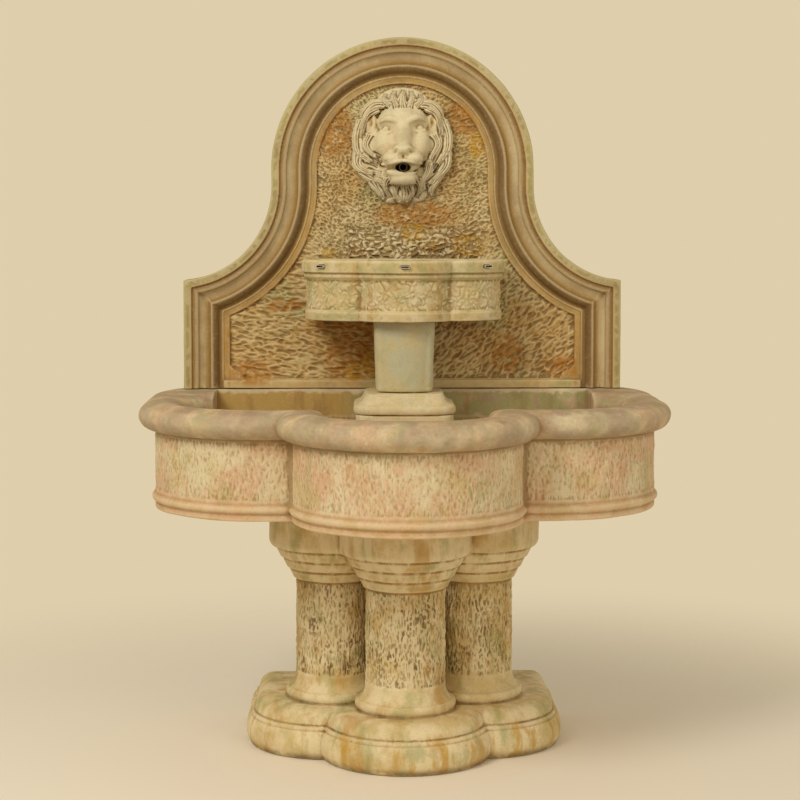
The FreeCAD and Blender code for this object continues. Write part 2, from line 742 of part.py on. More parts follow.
def make_basin():
    """One casting: trefoil basin with a rolled rim and a flat back, open at the top."""
    body = new_body("basin_body")
    reach = dim.basin_side_out + dim.basin_side_radius
    corner = dim.basin_corner_radius
    corner_out = reach - corner
    side_y = from_wall(dim.basin_side_from_wall)
    front_y = from_wall(dim.basin_front_from_wall)
    for side, sign in SIDES:
        profile = closed_on_axis(basin_profile(dim.basin_side_radius))
        revolve(body, "Revolution", "lobe_" + side, sign * dim.basin_side_out, side_y, profile)
        profile = closed_on_axis(basin_profile(corner))
        revolve(body, "Revolution", "corner_" + side, sign * corner_out, from_wall(corner), profile)
    profile = closed_on_axis(basin_profile(dim.basin_front_radius))
    revolve(body, "Revolution", "lobe_front", ZERO, front_y, profile)
    sketch = body_sketch(
        body, "flanks_sketch", "XZ_Plane", ZERO, side_y, ZERO, both_sides(basin_profile(ZERO), reach)
    )
    extrude(body, "Pad", "flanks", sketch, dim.basin_side_from_wall - corner, True)
    sketch = body_sketch(
        body, "back_sketch", "XZ_Plane", ZERO, from_wall(corner), ZERO,
        rectangle(-1 * corner_out, corner_out, dim.pedestal_height, RIM_TOP),
    )
    extrude(body, "Pad", "back", sketch, corner, True)
    half = dim.basin_side_out / 2
    sketch = body_sketch(
        body, "middle_sketch", "XY_Plane", ZERO, ZERO, dim.pedestal_height,
        rectangle(-1 * half, half, front_y, side_y + SPARE),
    )
    extrude(body, "Pad", "middle", sketch, dim.basin_height)

    for side, sign in SIDES:
        profile = closed_on_axis(cavity_profile(dim.basin_side_radius - dim.basin_wall))
        revolve(body, "Groove", "hollow_" + side, sign * dim.basin_side_out, side_y, profile)
    front_inside = dim.basin_front_radius - dim.basin_wall
    revolve(body, "Groove", "hollow_front", ZERO, front_y, closed_on_axis(cavity_profile(front_inside)))
    sketch = body_sketch(
        body, "neck_sketch", "XZ_Plane", ZERO, front_y, ZERO,
        both_sides(cavity_profile(ZERO), front_inside),
    )
    neck_length = dim.basin_front_from_wall - dim.basin_side_from_wall
    extrude(body, "Pocket", "neck", sketch, neck_length)
    out = dim.cavity_back_out
    depth = dim.basin_height - dim.basin_floor
    sketch = body_sketch(
        body, "hollow_back_sketch", "XY_Plane", ZERO, ZERO, RIM_TOP,
        rectangle(-1 * out, out, side_y, from_wall(dim.basin_back_wall)),
    )
    extrude(body, "Pocket", "hollow_back", sketch, depth)
    half = dim.channel_width / 2
    sketch = body_sketch(
        body, "channel_sketch", "XY_Plane", ZERO, ZERO, RIM_TOP,
        rectangle(-1 * half, half, from_wall(dim.basin_back_wall) - 1, from_wall(dim.channel_wall)),
    )
    extrude(body, "Pocket", "channel", sketch, dim.channel_drop)
    sketch = body_sketch(
        body, "wall_trim_sketch", "XZ_Plane", ZERO, WALL, ZERO,
        rectangle(-1 * reach - 2 * SPARE, reach + 2 * SPARE, ZERO, RIM_TOP + SPARE),
    )
    extrude(body, "Pocket", "wall_trim", sketch, dim.rim_overhang + SPARE)
    for side, sign in SIDES:
        upright_hole(
            body, "dowel_hole_" + side, sign * dim.dowel_out, from_wall(dim.basin_back_wall / 2),
            RIM_TOP - dim.dowel_depth, RIM_TOP + 1, dim.dowel_radius + dim.dowel_gap,
        )
    upright_hole(
        body, "drain_hole", -1 * dim.drain_out, from_wall(dim.drain_from_wall),
        dim.pedestal_height - 1, FLOOR_TOP + 1, dim.drain_thread_radius + dim.drain_gap,
    )
    return node("basin", body)


def solid_of(name, sketch, direction, length):
    """A sketch of its own drawn out straight into a solid."""
    item = document.addObject("Part::Extrusion", name)
    item.Base = sketch
    item.DirMode = "Custom"
    item.Dir = direction
    item.Solid = True
    bind(item, "LengthFwd", length)
    return item


def turned(name, sketch, angle, x, y, z):
    """A sketch of its own revolved about an axis along Y through x, y, z."""
    item = document.addObject("Part::Revolution", name)
    item.Source = sketch
    item.Axis = Vector(0, 1, 0)
    item.Solid = True
    item.Angle = angle
    item.Base = Vector(number(x), number(y), number(z))
    bind(item, "Base.x", x)
    bind(item, "Base.y", y)
    bind(item, "Base.z", z)
    return item


def common(name, first, second):
    """What two solids share."""
    item = document.addObject("Part::Common", name)
    item.Base = first
    item.Tool = second
    return item


TOWARD_FRONT = Vector(0, -1, 0)
UP = Vector(0, 0, 1)
SHOULDER_OUT = dim.arch_radius + dim.shoulder_radius
# Degrees of the shoulder's run, a little past the mitre.
SHOULDER_SWEEP = 95


def shoulder_height(inset):
    """Height at which the shoulder's hollow curve meets the flank, both moved inward by an inset."""
    reach = dim.shoulder_radius + inset
    gap = SHOULDER_OUT - dim.panel_half_width + inset
    return SHOULDER_CENTRE - root(reach * reach - gap * gap)


def frame_section(start, side):
    """The frame's section across the panel. It starts at the outline and runs inward on its side."""
    band_end = dim.frame_band
    scotia_end = band_end + dim.frame_scotia
    torus_end = scotia_end + dim.frame_torus
    cove_end = torus_end + dim.frame_cove
    face = dim.frame_face
    torus_foot = face - dim.frame_torus_drop
    cove_foot = dim.plate_thickness + dim.frame_cove_rise
    left, right = ("left", "right") if side > 0 else ("right", "left")
    section = [
        (ZERO, dim.plate_thickness / 2),
        (ZERO, face - dim.frame_chamfer),
        (dim.frame_chamfer, face),
        (band_end, face),
        (band_end + 1, face - dim.frame_step),
        (scotia_end, torus_foot, dim.frame_scotia * SCOTIA_ROUND, right),
        (torus_end, torus_foot + 1, arc_radius(dim.frame_torus, dim.frame_torus_rise), left),
        (cove_end - 1, cove_foot, dim.frame_cove * COVE_ROUND, right),
        (cove_end, cove_foot - 1),
        (MARGIN_START - 1, cove_foot - 1, arc_radius(dim.frame_bead, dim.frame_bead * BEAD_RISE), left),
        (MARGIN_START - 1, dim.plate_thickness / 2),
    ]
    return [(start - side * point[0], -1 * point[1]) + tuple(point[2:]) for point in section]


def panel_outline(inset, foot):
    """The panel's arched outline, moved inward by an inset, from its foot height up."""
    half = dim.panel_half_width - inset
    arch = dim.arch_radius - inset
    hollow = dim.shoulder_radius + inset
    shoulder = shoulder_height(inset)
    return [
        (half, foot),
        (half, shoulder),
        (arch, SHOULDER_CENTRE, hollow, "right"),
        (arch, ARCH_CENTRE),
        (ZERO, ARCH_CENTRE + arch, arch, "left"),
        (-1 * arch, ARCH_CENTRE, arch, "left"),
        (-1 * arch, SHOULDER_CENTRE),
        (-1 * half, shoulder, hollow, "right"),
        (-1 * half, foot),
    ]


def field_outline():
    """The sunk field: the panel's outline moved inward, with cut corners at its foot."""
    foot = RIM_TOP + dim.sill_height
    half = dim.panel_half_width - FRAME_WIDTH
    width = dim.ogee_width
    height = dim.ogee_height
    outline = panel_outline(FRAME_WIDTH, foot + height)
    bend = width * OGEE_ROUND
    turn_in = width * 0.58
    turn_up = height * 0.55
    right = [
        (half - width, foot),
        (half - turn_in, foot + turn_up, bend, "right"),
    ]
    left = [
        (-1 * half + turn_in, foot + turn_up, bend, "left"),
        (-1 * half + width, foot, bend, "right"),
    ]
    return right + [outline[0] + (bend, "left")] + outline[1:] + left


def mitred_frame():
    """The moulded frame: straight runs and curved runs of one section, mitred at the shoulders."""
    outer_corner = (dim.panel_half_width, shoulder_height(ZERO))
    inner_corner = (dim.panel_half_width - FRAME_WIDTH, shoulder_height(FRAME_WIDTH))
    run = outer_corner[0] - inner_corner[0]
    rise = outer_corner[1] - inner_corner[1]
    beyond = (outer_corner[0] + run / 2, outer_corner[1] + rise / 2)
    within = (inner_corner[0] - run / 2, inner_corner[1] - rise / 2)
    pieces = []
    for side, sign in SIDES:
        flank = free_sketch(
            "flank_section_" + side, "XY_Plane", ZERO, WALL, RIM_TOP,
            frame_section(sign * dim.panel_half_width, sign),
        )
        flank = solid_of("flank_run_" + side, flank, UP, dim.shoulder_centre_height)
        below = [
            (sign * beyond[0], beyond[1]), (sign * within[0], within[1]),
            (sign * within[0], RIM_TOP - 1), (sign * beyond[0], RIM_TOP - 1),
        ]
        above = [
            (sign * beyond[0], beyond[1]), (sign * beyond[0], SHOULDER_CENTRE),
            (ZERO, SHOULDER_CENTRE), (ZERO, within[1]), (sign * within[0], within[1]),
        ]
        reach = dim.frame_face * 2
        wedge = free_sketch("below_mitre_" + side, "XZ_Plane", ZERO, WALL, ZERO, below)
        wedge = solid_of("below_mitre_solid_" + side, wedge, TOWARD_FRONT, reach)
        pieces.append(common("flank_" + side, flank, wedge))
        section = frame_section(sign * -1 * dim.shoulder_radius, sign)
        hollow = free_sketch(
            "shoulder_section_" + side, "XY_Plane", sign * SHOULDER_OUT, WALL, SHOULDER_CENTRE, section
        )
        hollow = turned(
            "shoulder_run_" + side, hollow, -1 * sign * SHOULDER_SWEEP, sign * SHOULDER_OUT, WALL,
            SHOULDER_CENTRE,
        )
        wedge = free_sketch("above_mitre_" + side, "XZ_Plane", ZERO, WALL, ZERO, above)
        wedge = solid_of("above_mitre_solid_" + side, wedge, TOWARD_FRONT, reach)
        pieces.append(common("shoulder_" + side, hollow, wedge))
        neck = free_sketch(
            "neck_section_" + side, "XY_Plane", ZERO, WALL, SHOULDER_CENTRE,
            frame_section(sign * dim.arch_radius, sign),
        )
        pieces.append(solid_of("neck_run_" + side, neck, UP, ARCH_CENTRE - SHOULDER_CENTRE))
    arch = free_sketch(
        "arch_section", "XY_Plane", ZERO, WALL, ARCH_CENTRE, frame_section(-1 * dim.arch_radius, -1)
    )
    pieces.append(turned("arch_run", arch, 180, ZERO, WALL, ARCH_CENTRE))
    return pieces


def make_back_panel():
    """One casting: an arched plate with a moulded frame, a sill and a sunk field."""
    outline = free_sketch("plate_outline", "XZ_Plane", ZERO, WALL, ZERO, panel_outline(ZERO, RIM_TOP))
    plate = solid_of("plate", outline, TOWARD_FRONT, dim.plate_thickness)
    sill_length = (dim.panel_half_width - MARGIN_START) * 2 + 2
    middle = dim.sill_face / 2
    sill = box(
        "sill", sill_length, dim.sill_face, dim.sill_height - 2, ZERO, from_wall(middle), RIM_TOP
    )
    casting = fuse("panel_casting", [plate, sill] + mitred_frame())
    field = free_sketch("field_outline", "XZ_Plane", ZERO, from_wall(FIELD_FACE), ZERO, field_outline())
    tools = [solid_of("field", field, TOWARD_FRONT, dim.field_depth * 2)]
    groove_height = MOUTH_HEIGHT + dim.elbow_radius + dim.channel_over_elbow - RIM_TOP
    tools.append(box(
        "panel_channel", dim.channel_width, dim.channel_depth * 2, groove_height + 1,
        ZERO, WALL, RIM_TOP - 1,
    ))
    hole = dim.pipe_radius + dim.pipe_gap
    tools.append(cylinder(
        "pipe_hole", hole, dim.frame_face, ZERO, from_wall(dim.frame_face), MOUTH_HEIGHT,
        ALONG_WALL_NORMAL,
    ))
    for side, sign in SIDES:
        stud_x = sign * dim.stud_out
        stud_z = MASK_CENTRE + dim.stud_above_centre
        tools.append(cylinder(
            "stud_hole_" + side, dim.stud_radius + dim.stud_gap, dim.frame_face, stud_x,
            from_wall(dim.frame_face), stud_z, ALONG_WALL_NORMAL,
        ))
        tools.append(cylinder(
            "stud_pocket_" + side, dim.stud_pocket_radius, dim.stud_pocket_depth + 1, stud_x,
            from_wall(dim.stud_pocket_depth), stud_z, ALONG_WALL_NORMAL,
        ))
        tools.append(cylinder(
            "panel_dowel_hole_" + side, dim.dowel_radius + dim.dowel_gap, dim.dowel_depth + 1,
            sign * dim.dowel_out, from_wall(dim.basin_back_wall / 2), RIM_TOP - 1,
        ))
        hanger_z = RIM_TOP + dim.hanger_above_rim
        hanger_x = sign * dim.hanger_out
        low = hanger_z - dim.hanger_height / 2 + dim.keyhole_rise / 2
        tools.append(box(
            "hanger_seat_" + side, dim.hanger_width + dim.hanger_seat_gap * 2, dim.hanger_thickness * 2,
            dim.hanger_height + dim.hanger_seat_gap * 2, hanger_x, WALL, low - dim.hanger_seat_gap,
        ))
        pocket = dim.hanger_screw_spacing - dim.hanger_pocket_end * 2
        tools.append(box(
            "hanger_pocket_" + side, dim.hanger_width - dim.hanger_pocket_side * 2,
            dim.hanger_pocket_depth * 2, pocket, hanger_x, WALL,
            hanger_z + dim.keyhole_rise / 2 - pocket / 2,
        ))
        for end, lift in (("low", -1), ("high", 1)):
            tools.append(cylinder(
                "hanger_hole_%s_%s" % (side, end), dim.hanger_screw_radius + dim.screw_bore_gap,
                dim.hanger_screw_length + 1, hanger_x, from_wall(dim.hanger_screw_length + 1),
                hanger_z + dim.keyhole_rise / 2 + lift * dim.hanger_screw_spacing / 2,
                ALONG_WALL_NORMAL,
            ))
    return node("back_panel", cut("panel", casting, tools))


def make_panel_fixings():
    """Dowels between basin and panel, and keyhole plates with their screws in the panel's back."""
    dowels = []
    plates = []
    screws = []
    for side, sign in SIDES:
        dowels.append(cylinder(
            "dowel_" + side, dim.dowel_radius, dim.dowel_depth * 2 - 2, sign * dim.dowel_out,
            from_wall(dim.basin_back_wall / 2), RIM_TOP - dim.dowel_depth,
        ))
        x = sign * dim.hanger_out
        z = RIM_TOP + dim.hanger_above_rim
        middle = z + dim.keyhole_rise / 2
        half = dim.hanger_thickness / 2
        plate = box(
            "hanger_blank_" + side, dim.hanger_width, dim.hanger_thickness, dim.hanger_height,
            x, from_wall(half), middle - dim.hanger_height / 2,
        )
        front = from_wall(dim.hanger_thickness + 1)
        through = dim.hanger_thickness + 2
        screw_hole = dim.hanger_screw_radius + dim.screw_hole_gap
        sink = dim.hanger_thickness - dim.screw_sink_land
        tools = [
            cylinder("keyhole_" + side, dim.keyhole_radius, through, x, front, z, ALONG_WALL_NORMAL),
            box("keyhole_slot_" + side, dim.keyhole_slot, through, dim.keyhole_rise,
                x, from_wall(half), z),
            cylinder("keyhole_end_" + side, dim.keyhole_slot / 2, through, x, front,
                     z + dim.keyhole_rise, ALONG_WALL_NORMAL),
        ]
        for end, lift in (("low", -1), ("high", 1)):
            screw_z = middle + lift * dim.hanger_screw_spacing / 2
            tools.append(cylinder(
                "plate_hole_%s_%s" % (side, end), screw_hole, through, x, front, screw_z,
                ALONG_WALL_NORMAL,
            ))
            tools.append(cone(
                "plate_sink_%s_%s" % (side, end), screw_hole, screw_hole + dim.hanger_screw_radius,
                sink, x, from_wall(sink), screw_z, ALONG_WALL_NORMAL,
            ))
            shank = cylinder(
                "screw_shank_%s_%s" % (side, end), dim.hanger_screw_radius, dim.hanger_screw_length,
                x, from_wall(dim.hanger_screw_length), screw_z, ALONG_WALL_NORMAL,
            )
            head = cone(
                "screw_head_%s_%s" % (side, end), dim.hanger_screw_radius, dim.hanger_screw_radius * 2,
                sink, x, from_wall(sink), screw_z, ALONG_WALL_NORMAL,
            )
            screws.append(fuse("hanger_screw_%s_%s" % (side, end), [shank, head]))
        plates.append(cut("hanger_plate_" + side, plate, tools))
    node("panel_dowels", group("dowels", dowels))
    node("hanger_plates", group("hangers", plates))
    node("hanger_screws", group("hanger_screw_set", screws))


def rounded(x_half, y_front, y_back, corner, bow=None):
    """A rectangle with rounded corners and, if asked, a bowed front. It ends at mid back."""
    turn = corner
    points = [
        (-1 * x_half + corner, y_back),
        (-1 * x_half, y_back - corner, turn, "left"),
        (-1 * x_half, y_front + corner),
        (-1 * x_half + corner, y_front, turn, "left"),
    ]
    if bow is None:
        points.append((x_half - corner, y_front))
    else:
        span = (x_half - corner) * 2
        points.append((x_half - corner, y_front, arc_radius(span, bow), "left"))
    return points + [
        (x_half, y_front + corner, turn, "left"),
        (x_half, y_back - corner),
        (x_half - corner, y_back, turn, "left"),
        (ZERO, y_back),
    ]


def make_pump_chamber():
    """A cast block on the basin floor, hollow for the pump, with a port at each side and behind."""
    body = new_body("chamber_body")
    middle = from_wall(dim.riser_from_wall)
    front = middle - dim.chamber_half_depth
    back = middle + dim.chamber_half_depth
    sketch = body_sketch(
        body, "chamber_plan", "XY_Plane", ZERO, ZERO, FLOOR_TOP,
        rounded(dim.chamber_half_width, front, back, dim.chamber_corner),
    )
    extrude(body, "Pad", "chamber_block", sketch, dim.chamber_height)
    wall = dim.chamber_wall
    inside = dim.chamber_half_width - wall
    sketch = body_sketch(
        body, "chamber_room_plan", "XY_Plane", ZERO, ZERO, FLOOR_TOP,
        rounded(inside, front + wall, back - wall, dim.chamber_corner / 2),
    )
    room = extrude(body, "Pocket", "chamber_room", sketch, dim.chamber_height - dim.chamber_roof)
    room.Reversed = True
    half = dim.port_width / 2
    spring = FLOOR_TOP + dim.port_height * 0.75
    crown = dim.port_height * 0.25
    arch = arc_radius(dim.port_width, crown)
    sketch = body_sketch(
        body, "side_port_outline", "YZ_Plane", dim.chamber_half_width + 1, ZERO, ZERO,
        [(middle - half, FLOOR_TOP - 1), (middle + half, FLOOR_TOP - 1), (middle + half, spring),
         (middle - half, spring, arch, "left")],
    )
    extrude(body, "Pocket", "side_ports", sketch, dim.chamber_half_width * 2 + 2)
    half = dim.hose_port_width / 2
    spring = FLOOR_TOP + dim.hose_port_height * 0.85
    arch = arc_radius(dim.hose_port_width, dim.hose_port_height * 0.15)
    sketch = body_sketch(
        body, "hose_port_outline", "XZ_Plane", ZERO, middle, ZERO,
        [(-1 * half, FLOOR_TOP - 1), (half, FLOOR_TOP - 1), (half, spring),
         (-1 * half, spring, arch, "left")],
    )
    extrude(body, "Pocket", "hose_port", sketch, dim.chamber_half_depth + 1)
    return node("pump_chamber", body)


def make_riser_base():
    """The moulded base that stands on the pump chamber and shows above the water."""
    middle = from_wall(dim.riser_from_wall)
    inset = dim.riser_base_top_inset
    half_width = dim.riser_base_half_width
    half_depth = dim.riser_base_half_depth
    torus = dim.riser_base_torus
    edge = dim.riser_base_edge
    corner = dim.chamber_corner + torus
    core = inset + torus
    height = dim.riser_base_height
    torus_top = height * 0.42
    hollow_foot = height * 0.46
    hollow_top = height * 0.80
    band_foot = height * 0.84
    path = free_sketch(
        "riser_base_path", "XY_Plane", ZERO, ZERO, CHAMBER_TOP,
        rounded(half_width - core, middle - half_depth + core, middle + half_depth - core, corner / 2),
    )
    section = free_sketch(
        "riser_base_section", "YZ_Plane", ZERO, middle + half_depth - core, CHAMBER_TOP,
        [
            (ZERO, ZERO),
            (core - torus / 2, ZERO),
            (core - torus / 2, torus_top, arc_radius(torus_top, torus / 2), "left"),
            (core - torus, hollow_foot),
            (core - inset + torus / 2, hollow_top, height / 2, "right"),
            (core - inset + torus / 2, band_foot),
            (core - inset, band_foot),
            (core - inset, height - edge),
            (core - inset - edge, height),
            (ZERO, height),
        ],
    )
    moulding = document.addObject("Part::Sweep", "riser_base_moulding")
    moulding.Sections = [section]
    moulding.Spine = (path, ["Edge%d" % (index + 1) for index in range(9)])
    moulding.Solid = True
    moulding.Frenet = False
    moulding.Transition = "Right corner"
    core_block = solid_of("riser_base_core", path, UP, height)
    return node("riser_base", fuse("riser_base_casting", [moulding, core_block]))


def make_riser():
    """A smooth block with a bowed front, eased at its foot, that carries the bowl."""
    body = new_body("riser_body")
    middle = from_wall(dim.riser_from_wall)
    front = middle - dim.riser_half_depth + dim.riser_front_bow
    back = middle + dim.riser_half_depth
    foot = dim.riser_foot_round
    levels = [
        ("foot", RISER_FOOT, dim.riser_half_width_foot, foot * 0.6),
        ("easing", RISER_FOOT + foot * 0.3, dim.riser_half_width_foot, foot * 0.2),
        ("waist", RISER_FOOT + foot, dim.riser_half_width_foot, ZERO),
        ("top", BOWL_FOOT, dim.riser_half_width_top, ZERO),
    ]
    sketches = []
    for level, height, half_width, inset in levels:
        outline = rounded(
            half_width - inset, front + inset, back - inset, dim.riser_corner - inset, dim.riser_front_bow
        )
        sketches.append(body_sketch(body, "riser_" + level, "XY_Plane", ZERO, ZERO, height, outline))
    block = feature(body, "AdditiveLoft", "riser_block", sketches[0])
    block.Sections = sketches[1:]
    block.Ruled = True
    return node("riser_column", body)


def bowl_profile(radius):
    """Outside of the upper bowl: plain foot band, body, round fillet and rim band."""
    foot = radius + dim.bowl_foot_out
    foot_top = BOWL_FOOT + dim.bowl_foot_height
    rim = BOWL_TOP - dim.bowl_rim_height
    fillet = rim - dim.bowl_fillet_height
    widest = radius + dim.bowl_rim_overhang
    return [
        (foot - dim.bowl_foot_round, BOWL_FOOT),
        (foot, BOWL_FOOT + dim.bowl_foot_round, dim.bowl_foot_round * QUARTER, "left"),
        (foot, foot_top),
        (radius, foot_top + 1),
        (radius, fillet),
        (radius, rim, arc_radius(dim.bowl_fillet_height, dim.bowl_fillet_bulge), "left"),
        (widest - dim.bowl_rim_foot_round, rim),
        (widest, rim + dim.bowl_rim_foot_round, dim.bowl_rim_foot_round * QUARTER, "left"),
        (widest, BOWL_TOP - dim.bowl_rim_round),
        (widest - dim.bowl_rim_round, BOWL_TOP, dim.bowl_rim_round * QUARTER, "left"),
    ]


def bowl_cavity(radius):
    """Inside of the upper bowl, rounded over at the rim."""
    edge = dim.bowl_inner_round
    return [
        (radius, BOWL_FOOT + dim.bowl_floor),
        (radius, BOWL_TOP - edge),
        (radius + edge, BOWL_TOP, edge * QUARTER, "right"),
        (radius + edge, BOWL_TOP + SPARE),
    ]


def spout_places(beyond):
    """Name, x, y and turn of each spout at a point a little beyond the face of the rim."""
    reach = dim.bowl_side_radius + dim.bowl_rim_overhang + beyond
    degrees = number(dim.spout_angle)
    angle = math.radians(degrees)
    side_x = dim.bowl_side_out + Size(math.sin(angle), "sin(sheet.spout_angle * 1deg)") * reach
    out = Size(math.cos(angle), "cos(sheet.spout_angle * 1deg)") * reach
    side_y = from_wall(dim.bowl_side_from_wall + out)
    front_reach = dim.bowl_front_radius + dim.bowl_rim_overhang + beyond
    front_y = from_wall(dim.bowl_front_from_wall + front_reach)
    return [
        ("spout_left", -1 * side_x, side_y, -degrees),
        ("spout_center", ZERO, front_y, 0.0),
        ("spout_right", side_x, side_y, degrees),
    ]


def flat_tube(name, width, height, length, x, y, z, angle):
    """A bar of flattened round section that runs from its mouth at x, y, z back into the rim."""
    half = (width - height) / 2
    sketch = document.addObject("Sketcher::SketchObject", name + "_section")
    turn = Rotation(Vector(0, 0, 1), angle).multiply(STANDING)
    place(sketch, x, y, z, turn)
    draw(sketch, [
        (-1 * half, -1 * height / 2),
        (half, -1 * height / 2),
        (half, height / 2, height / 2 * 1.0001, "left"),
        (-1 * half, height / 2),
        (-1 * half, -1 * height / 2, height / 2 * 1.0001, "left"),
    ][1:])
    direction = Rotation(Vector(0, 0, 1), angle).multVec(Vector(0, 1, 0))
    return solid_of(name, sketch, direction, length)


def make_upper_bowl():
    """One casting: a small lobed bowl with three slots in its rim for the spouts."""
    body = new_body("bowl_body")
    reach = dim.bowl_side_out + dim.bowl_side_radius
    side_y = from_wall(dim.bowl_side_from_wall)
    front_y = from_wall(dim.bowl_front_from_wall)
    for side, sign in SIDES:
        profile = closed_on_axis(bowl_profile(dim.bowl_side_radius))
        revolve(body, "Revolution", "bowl_lobe_" + side, sign * dim.bowl_side_out, side_y, profile)
    profile = closed_on_axis(bowl_profile(dim.bowl_front_radius))
    revolve(body, "Revolution", "bowl_front", ZERO, front_y, profile)
    sketch = body_sketch(
        body, "bowl_flanks_sketch", "XZ_Plane", ZERO, side_y, ZERO, both_sides(bowl_profile(ZERO), reach)
    )
    extrude(body, "Pad", "bowl_flanks", sketch, dim.bowl_side_from_wall - dim.bowl_back_from_wall, True)
    for side, sign in SIDES:
        profile = closed_on_axis(bowl_cavity(dim.bowl_side_radius - dim.bowl_wall))
        revolve(body, "Groove", "bowl_hollow_" + side, sign * dim.bowl_side_out, side_y, profile)
    profile = closed_on_axis(bowl_cavity(dim.bowl_front_radius - dim.bowl_wall))
    revolve(body, "Groove", "bowl_hollow_front", ZERO, front_y, profile)
    inner_back = dim.bowl_back_from_wall + dim.bowl_wall
    half = dim.bowl_side_out
    sketch = body_sketch(
        body, "bowl_middle_sketch", "XY_Plane", ZERO, ZERO, BOWL_TOP,
        rectangle(-1 * half, half, front_y, from_wall(inner_back)),
    )
    extrude(body, "Pocket", "bowl_middle", sketch, dim.bowl_height - dim.bowl_floor)
    wide = reach + dim.bowl_rim_overhang / 2
    sketch = body_sketch(
        body, "bowl_back_sketch", "XY_Plane", ZERO, ZERO, BOWL_FOOT,
        rectangle(-1 * reach + 8, reach - 8, from_wall(inner_back), from_wall(dim.bowl_back_from_wall)),
    )
    extrude(body, "Pad", "bowl_back", sketch, dim.bowl_height)
    sketch = body_sketch(
        body, "bowl_trim_sketch", "XZ_Plane", ZERO, from_wall(dim.bowl_back_from_wall), ZERO,
        rectangle(-1 * wide - SPARE, wide + SPARE, BOWL_FOOT - SPARE, BOWL_TOP + SPARE),
    )
    extrude(body, "Pocket", "bowl_trim", sketch, dim.bowl_side_radius)
    slots = []
    length = dim.bowl_wall + dim.bowl_rim_overhang + SPARE
    spout_z = BOWL_TOP - dim.spout_drop
    for name, x, y, turn in spout_places(dim.spout_stand_out):
        slots.append(flat_tube(
            name + "_slot", dim.spout_width + dim.spout_gap * 2, dim.spout_height + dim.spout_gap * 2,
            length, x, y, spout_z, turn,
        ))
    return node("upper_bowl", cut("bowl", body, slots))


def make_spouts():
    """Three flattened metal tubes mortared into the bowl's rim."""
    z = BOWL_TOP - dim.spout_drop
    length = dim.bowl_wall + dim.bowl_rim_overhang + dim.spout_stand_out + 1
    bore_ends = {}
    for name, x, y, turn in spout_places(dim.spout_stand_out + 2):
        bore_ends[name] = (x, y)
    for name, x, y, turn in spout_places(dim.spout_stand_out):
        outside = flat_tube(name + "_outside", dim.spout_width, dim.spout_height, length, x, y, z, turn)
        both_walls = dim.spout_wall * 2
        bore_x, bore_y = bore_ends[name]
        bore = flat_tube(
            name + "_bore", dim.spout_width - both_walls, dim.spout_height - both_walls, length + 4,
            bore_x, bore_y, z, turn,
        )
        node(name, cut(name + "_tube", outside, [bore]))


def dome(u, v, middle, half, base, rise):
    """Height of an elliptical dome over the point u, v, or nothing outside its edge."""
    across = (u - middle[0]) / half[0]
    along = (v - middle[1]) / half[1]
    inside = 1 - across * across - along * along
    if inside <= 0:
        return -100.0
    return base + rise * math.sqrt(inside)


def ridge(u, v, path, half, base, rise):
    """Height over u, v of a rounded ridge along a path, which tapers over its last run."""
    best = -100.0
    for index, (first, last) in enumerate(zip(path, path[1:])):
        run = (last[0] - first[0], last[1] - first[1])
        length = run[0] * run[0] + run[1] * run[1]
        part = ((u - first[0]) * run[0] + (v - first[1]) * run[1]) / length
        part = min(max(part, 0.0), 1.0)
        taper = 1.0 - 0.45 * part if index == len(path) - 2 else 1.0
        away = math.hypot(u - first[0] - run[0] * part, v - first[1] - run[1] * part) / (half * taper)
        if away < 1:
            best = max(best, base + rise * taper * math.sqrt(1 - away * away))
    return best


# Each dome: middle, half widths, base and rise above the field. Lengths in mm from the mask's centre.
MANE_DOMES = [
    ((0, 8), (96, 92), 2, 18),
    ((-59, -36), (37, 43), 2, 18),
    ((59, -36), (37, 43), 2, 18),
    ((-24, -78), (38, 42), 2, 18),
    ((24, -78), (38, 42), 2, 18),
    ((0, 84), (58, 39), 2, 20),
]
FACE_DOMES = [
    ((0, -10), (54, 84), 10, 30),
    ((0, 48), (54, 46), 14, 42),
    ((0, 12), (47, 50), 14, 40),
    ((0, -26), (43, 32), 28, 40),
    ((0, -9), (21, 13), 48, 36),
    ((-21, -27), (22, 16), 40, 34),
    ((21, -27), (22, 16), 40, 34),
    ((0, -66), (30, 18), 26, 38),
    ((-65, 48), (12, 23), 16, 16),
    ((62, 48), (12, 23), 16, 16),
]
# Each ridge: its path, half width, base and rise. Those listed for the left side are mirrored.
MIDDLE_RIDGES = [
    ([(0, 66), (0, 30), (0, -6)], 15, 38, 42),
    ([(0, 80), (-3, 100), (2, 116)], 9, 20, 22),
    ([(0, -86), (3, -102), (0, -116)], 9, 18, 20),
]
SIDE_RIDGES = [
    ([(-8, 44), (-30, 52), (-50, 42)], 8, 40, 22),
    ([(-36, 24), (-18, 8)], 8, 28, 20),
    ([(-15, 80), (-22, 98), (-17, 112)], 8, 18, 20),
    ([(-30, 82), (-44, 92), (-40, 104)], 8, 14, 18),
    ([(-40, 82), (-62, 84), (-80, 66), (-88, 44)], 9, 8, 20),
    ([(-52, 74), (-70, 62), (-80, 38), (-80, 16)], 9, 12, 22),
    ([(-86, 40), (-90, 8), (-83, -18), (-65, -32), (-50, -36)], 10, 8, 22),
    ([(-70, 22), (-74, 2), (-62, -14), (-50, -22)], 9, 14, 22),
    ([(-90, -22), (-87, -42), (-69, -54), (-46, -58)], 10, 8, 22),
    ([(-77, -65), (-61, -72), (-50, -88), (-42, -106)], 10, 8, 20),
    ([(-42, -56), (-34, -78), (-22, -104)], 9, 16, 20),
]
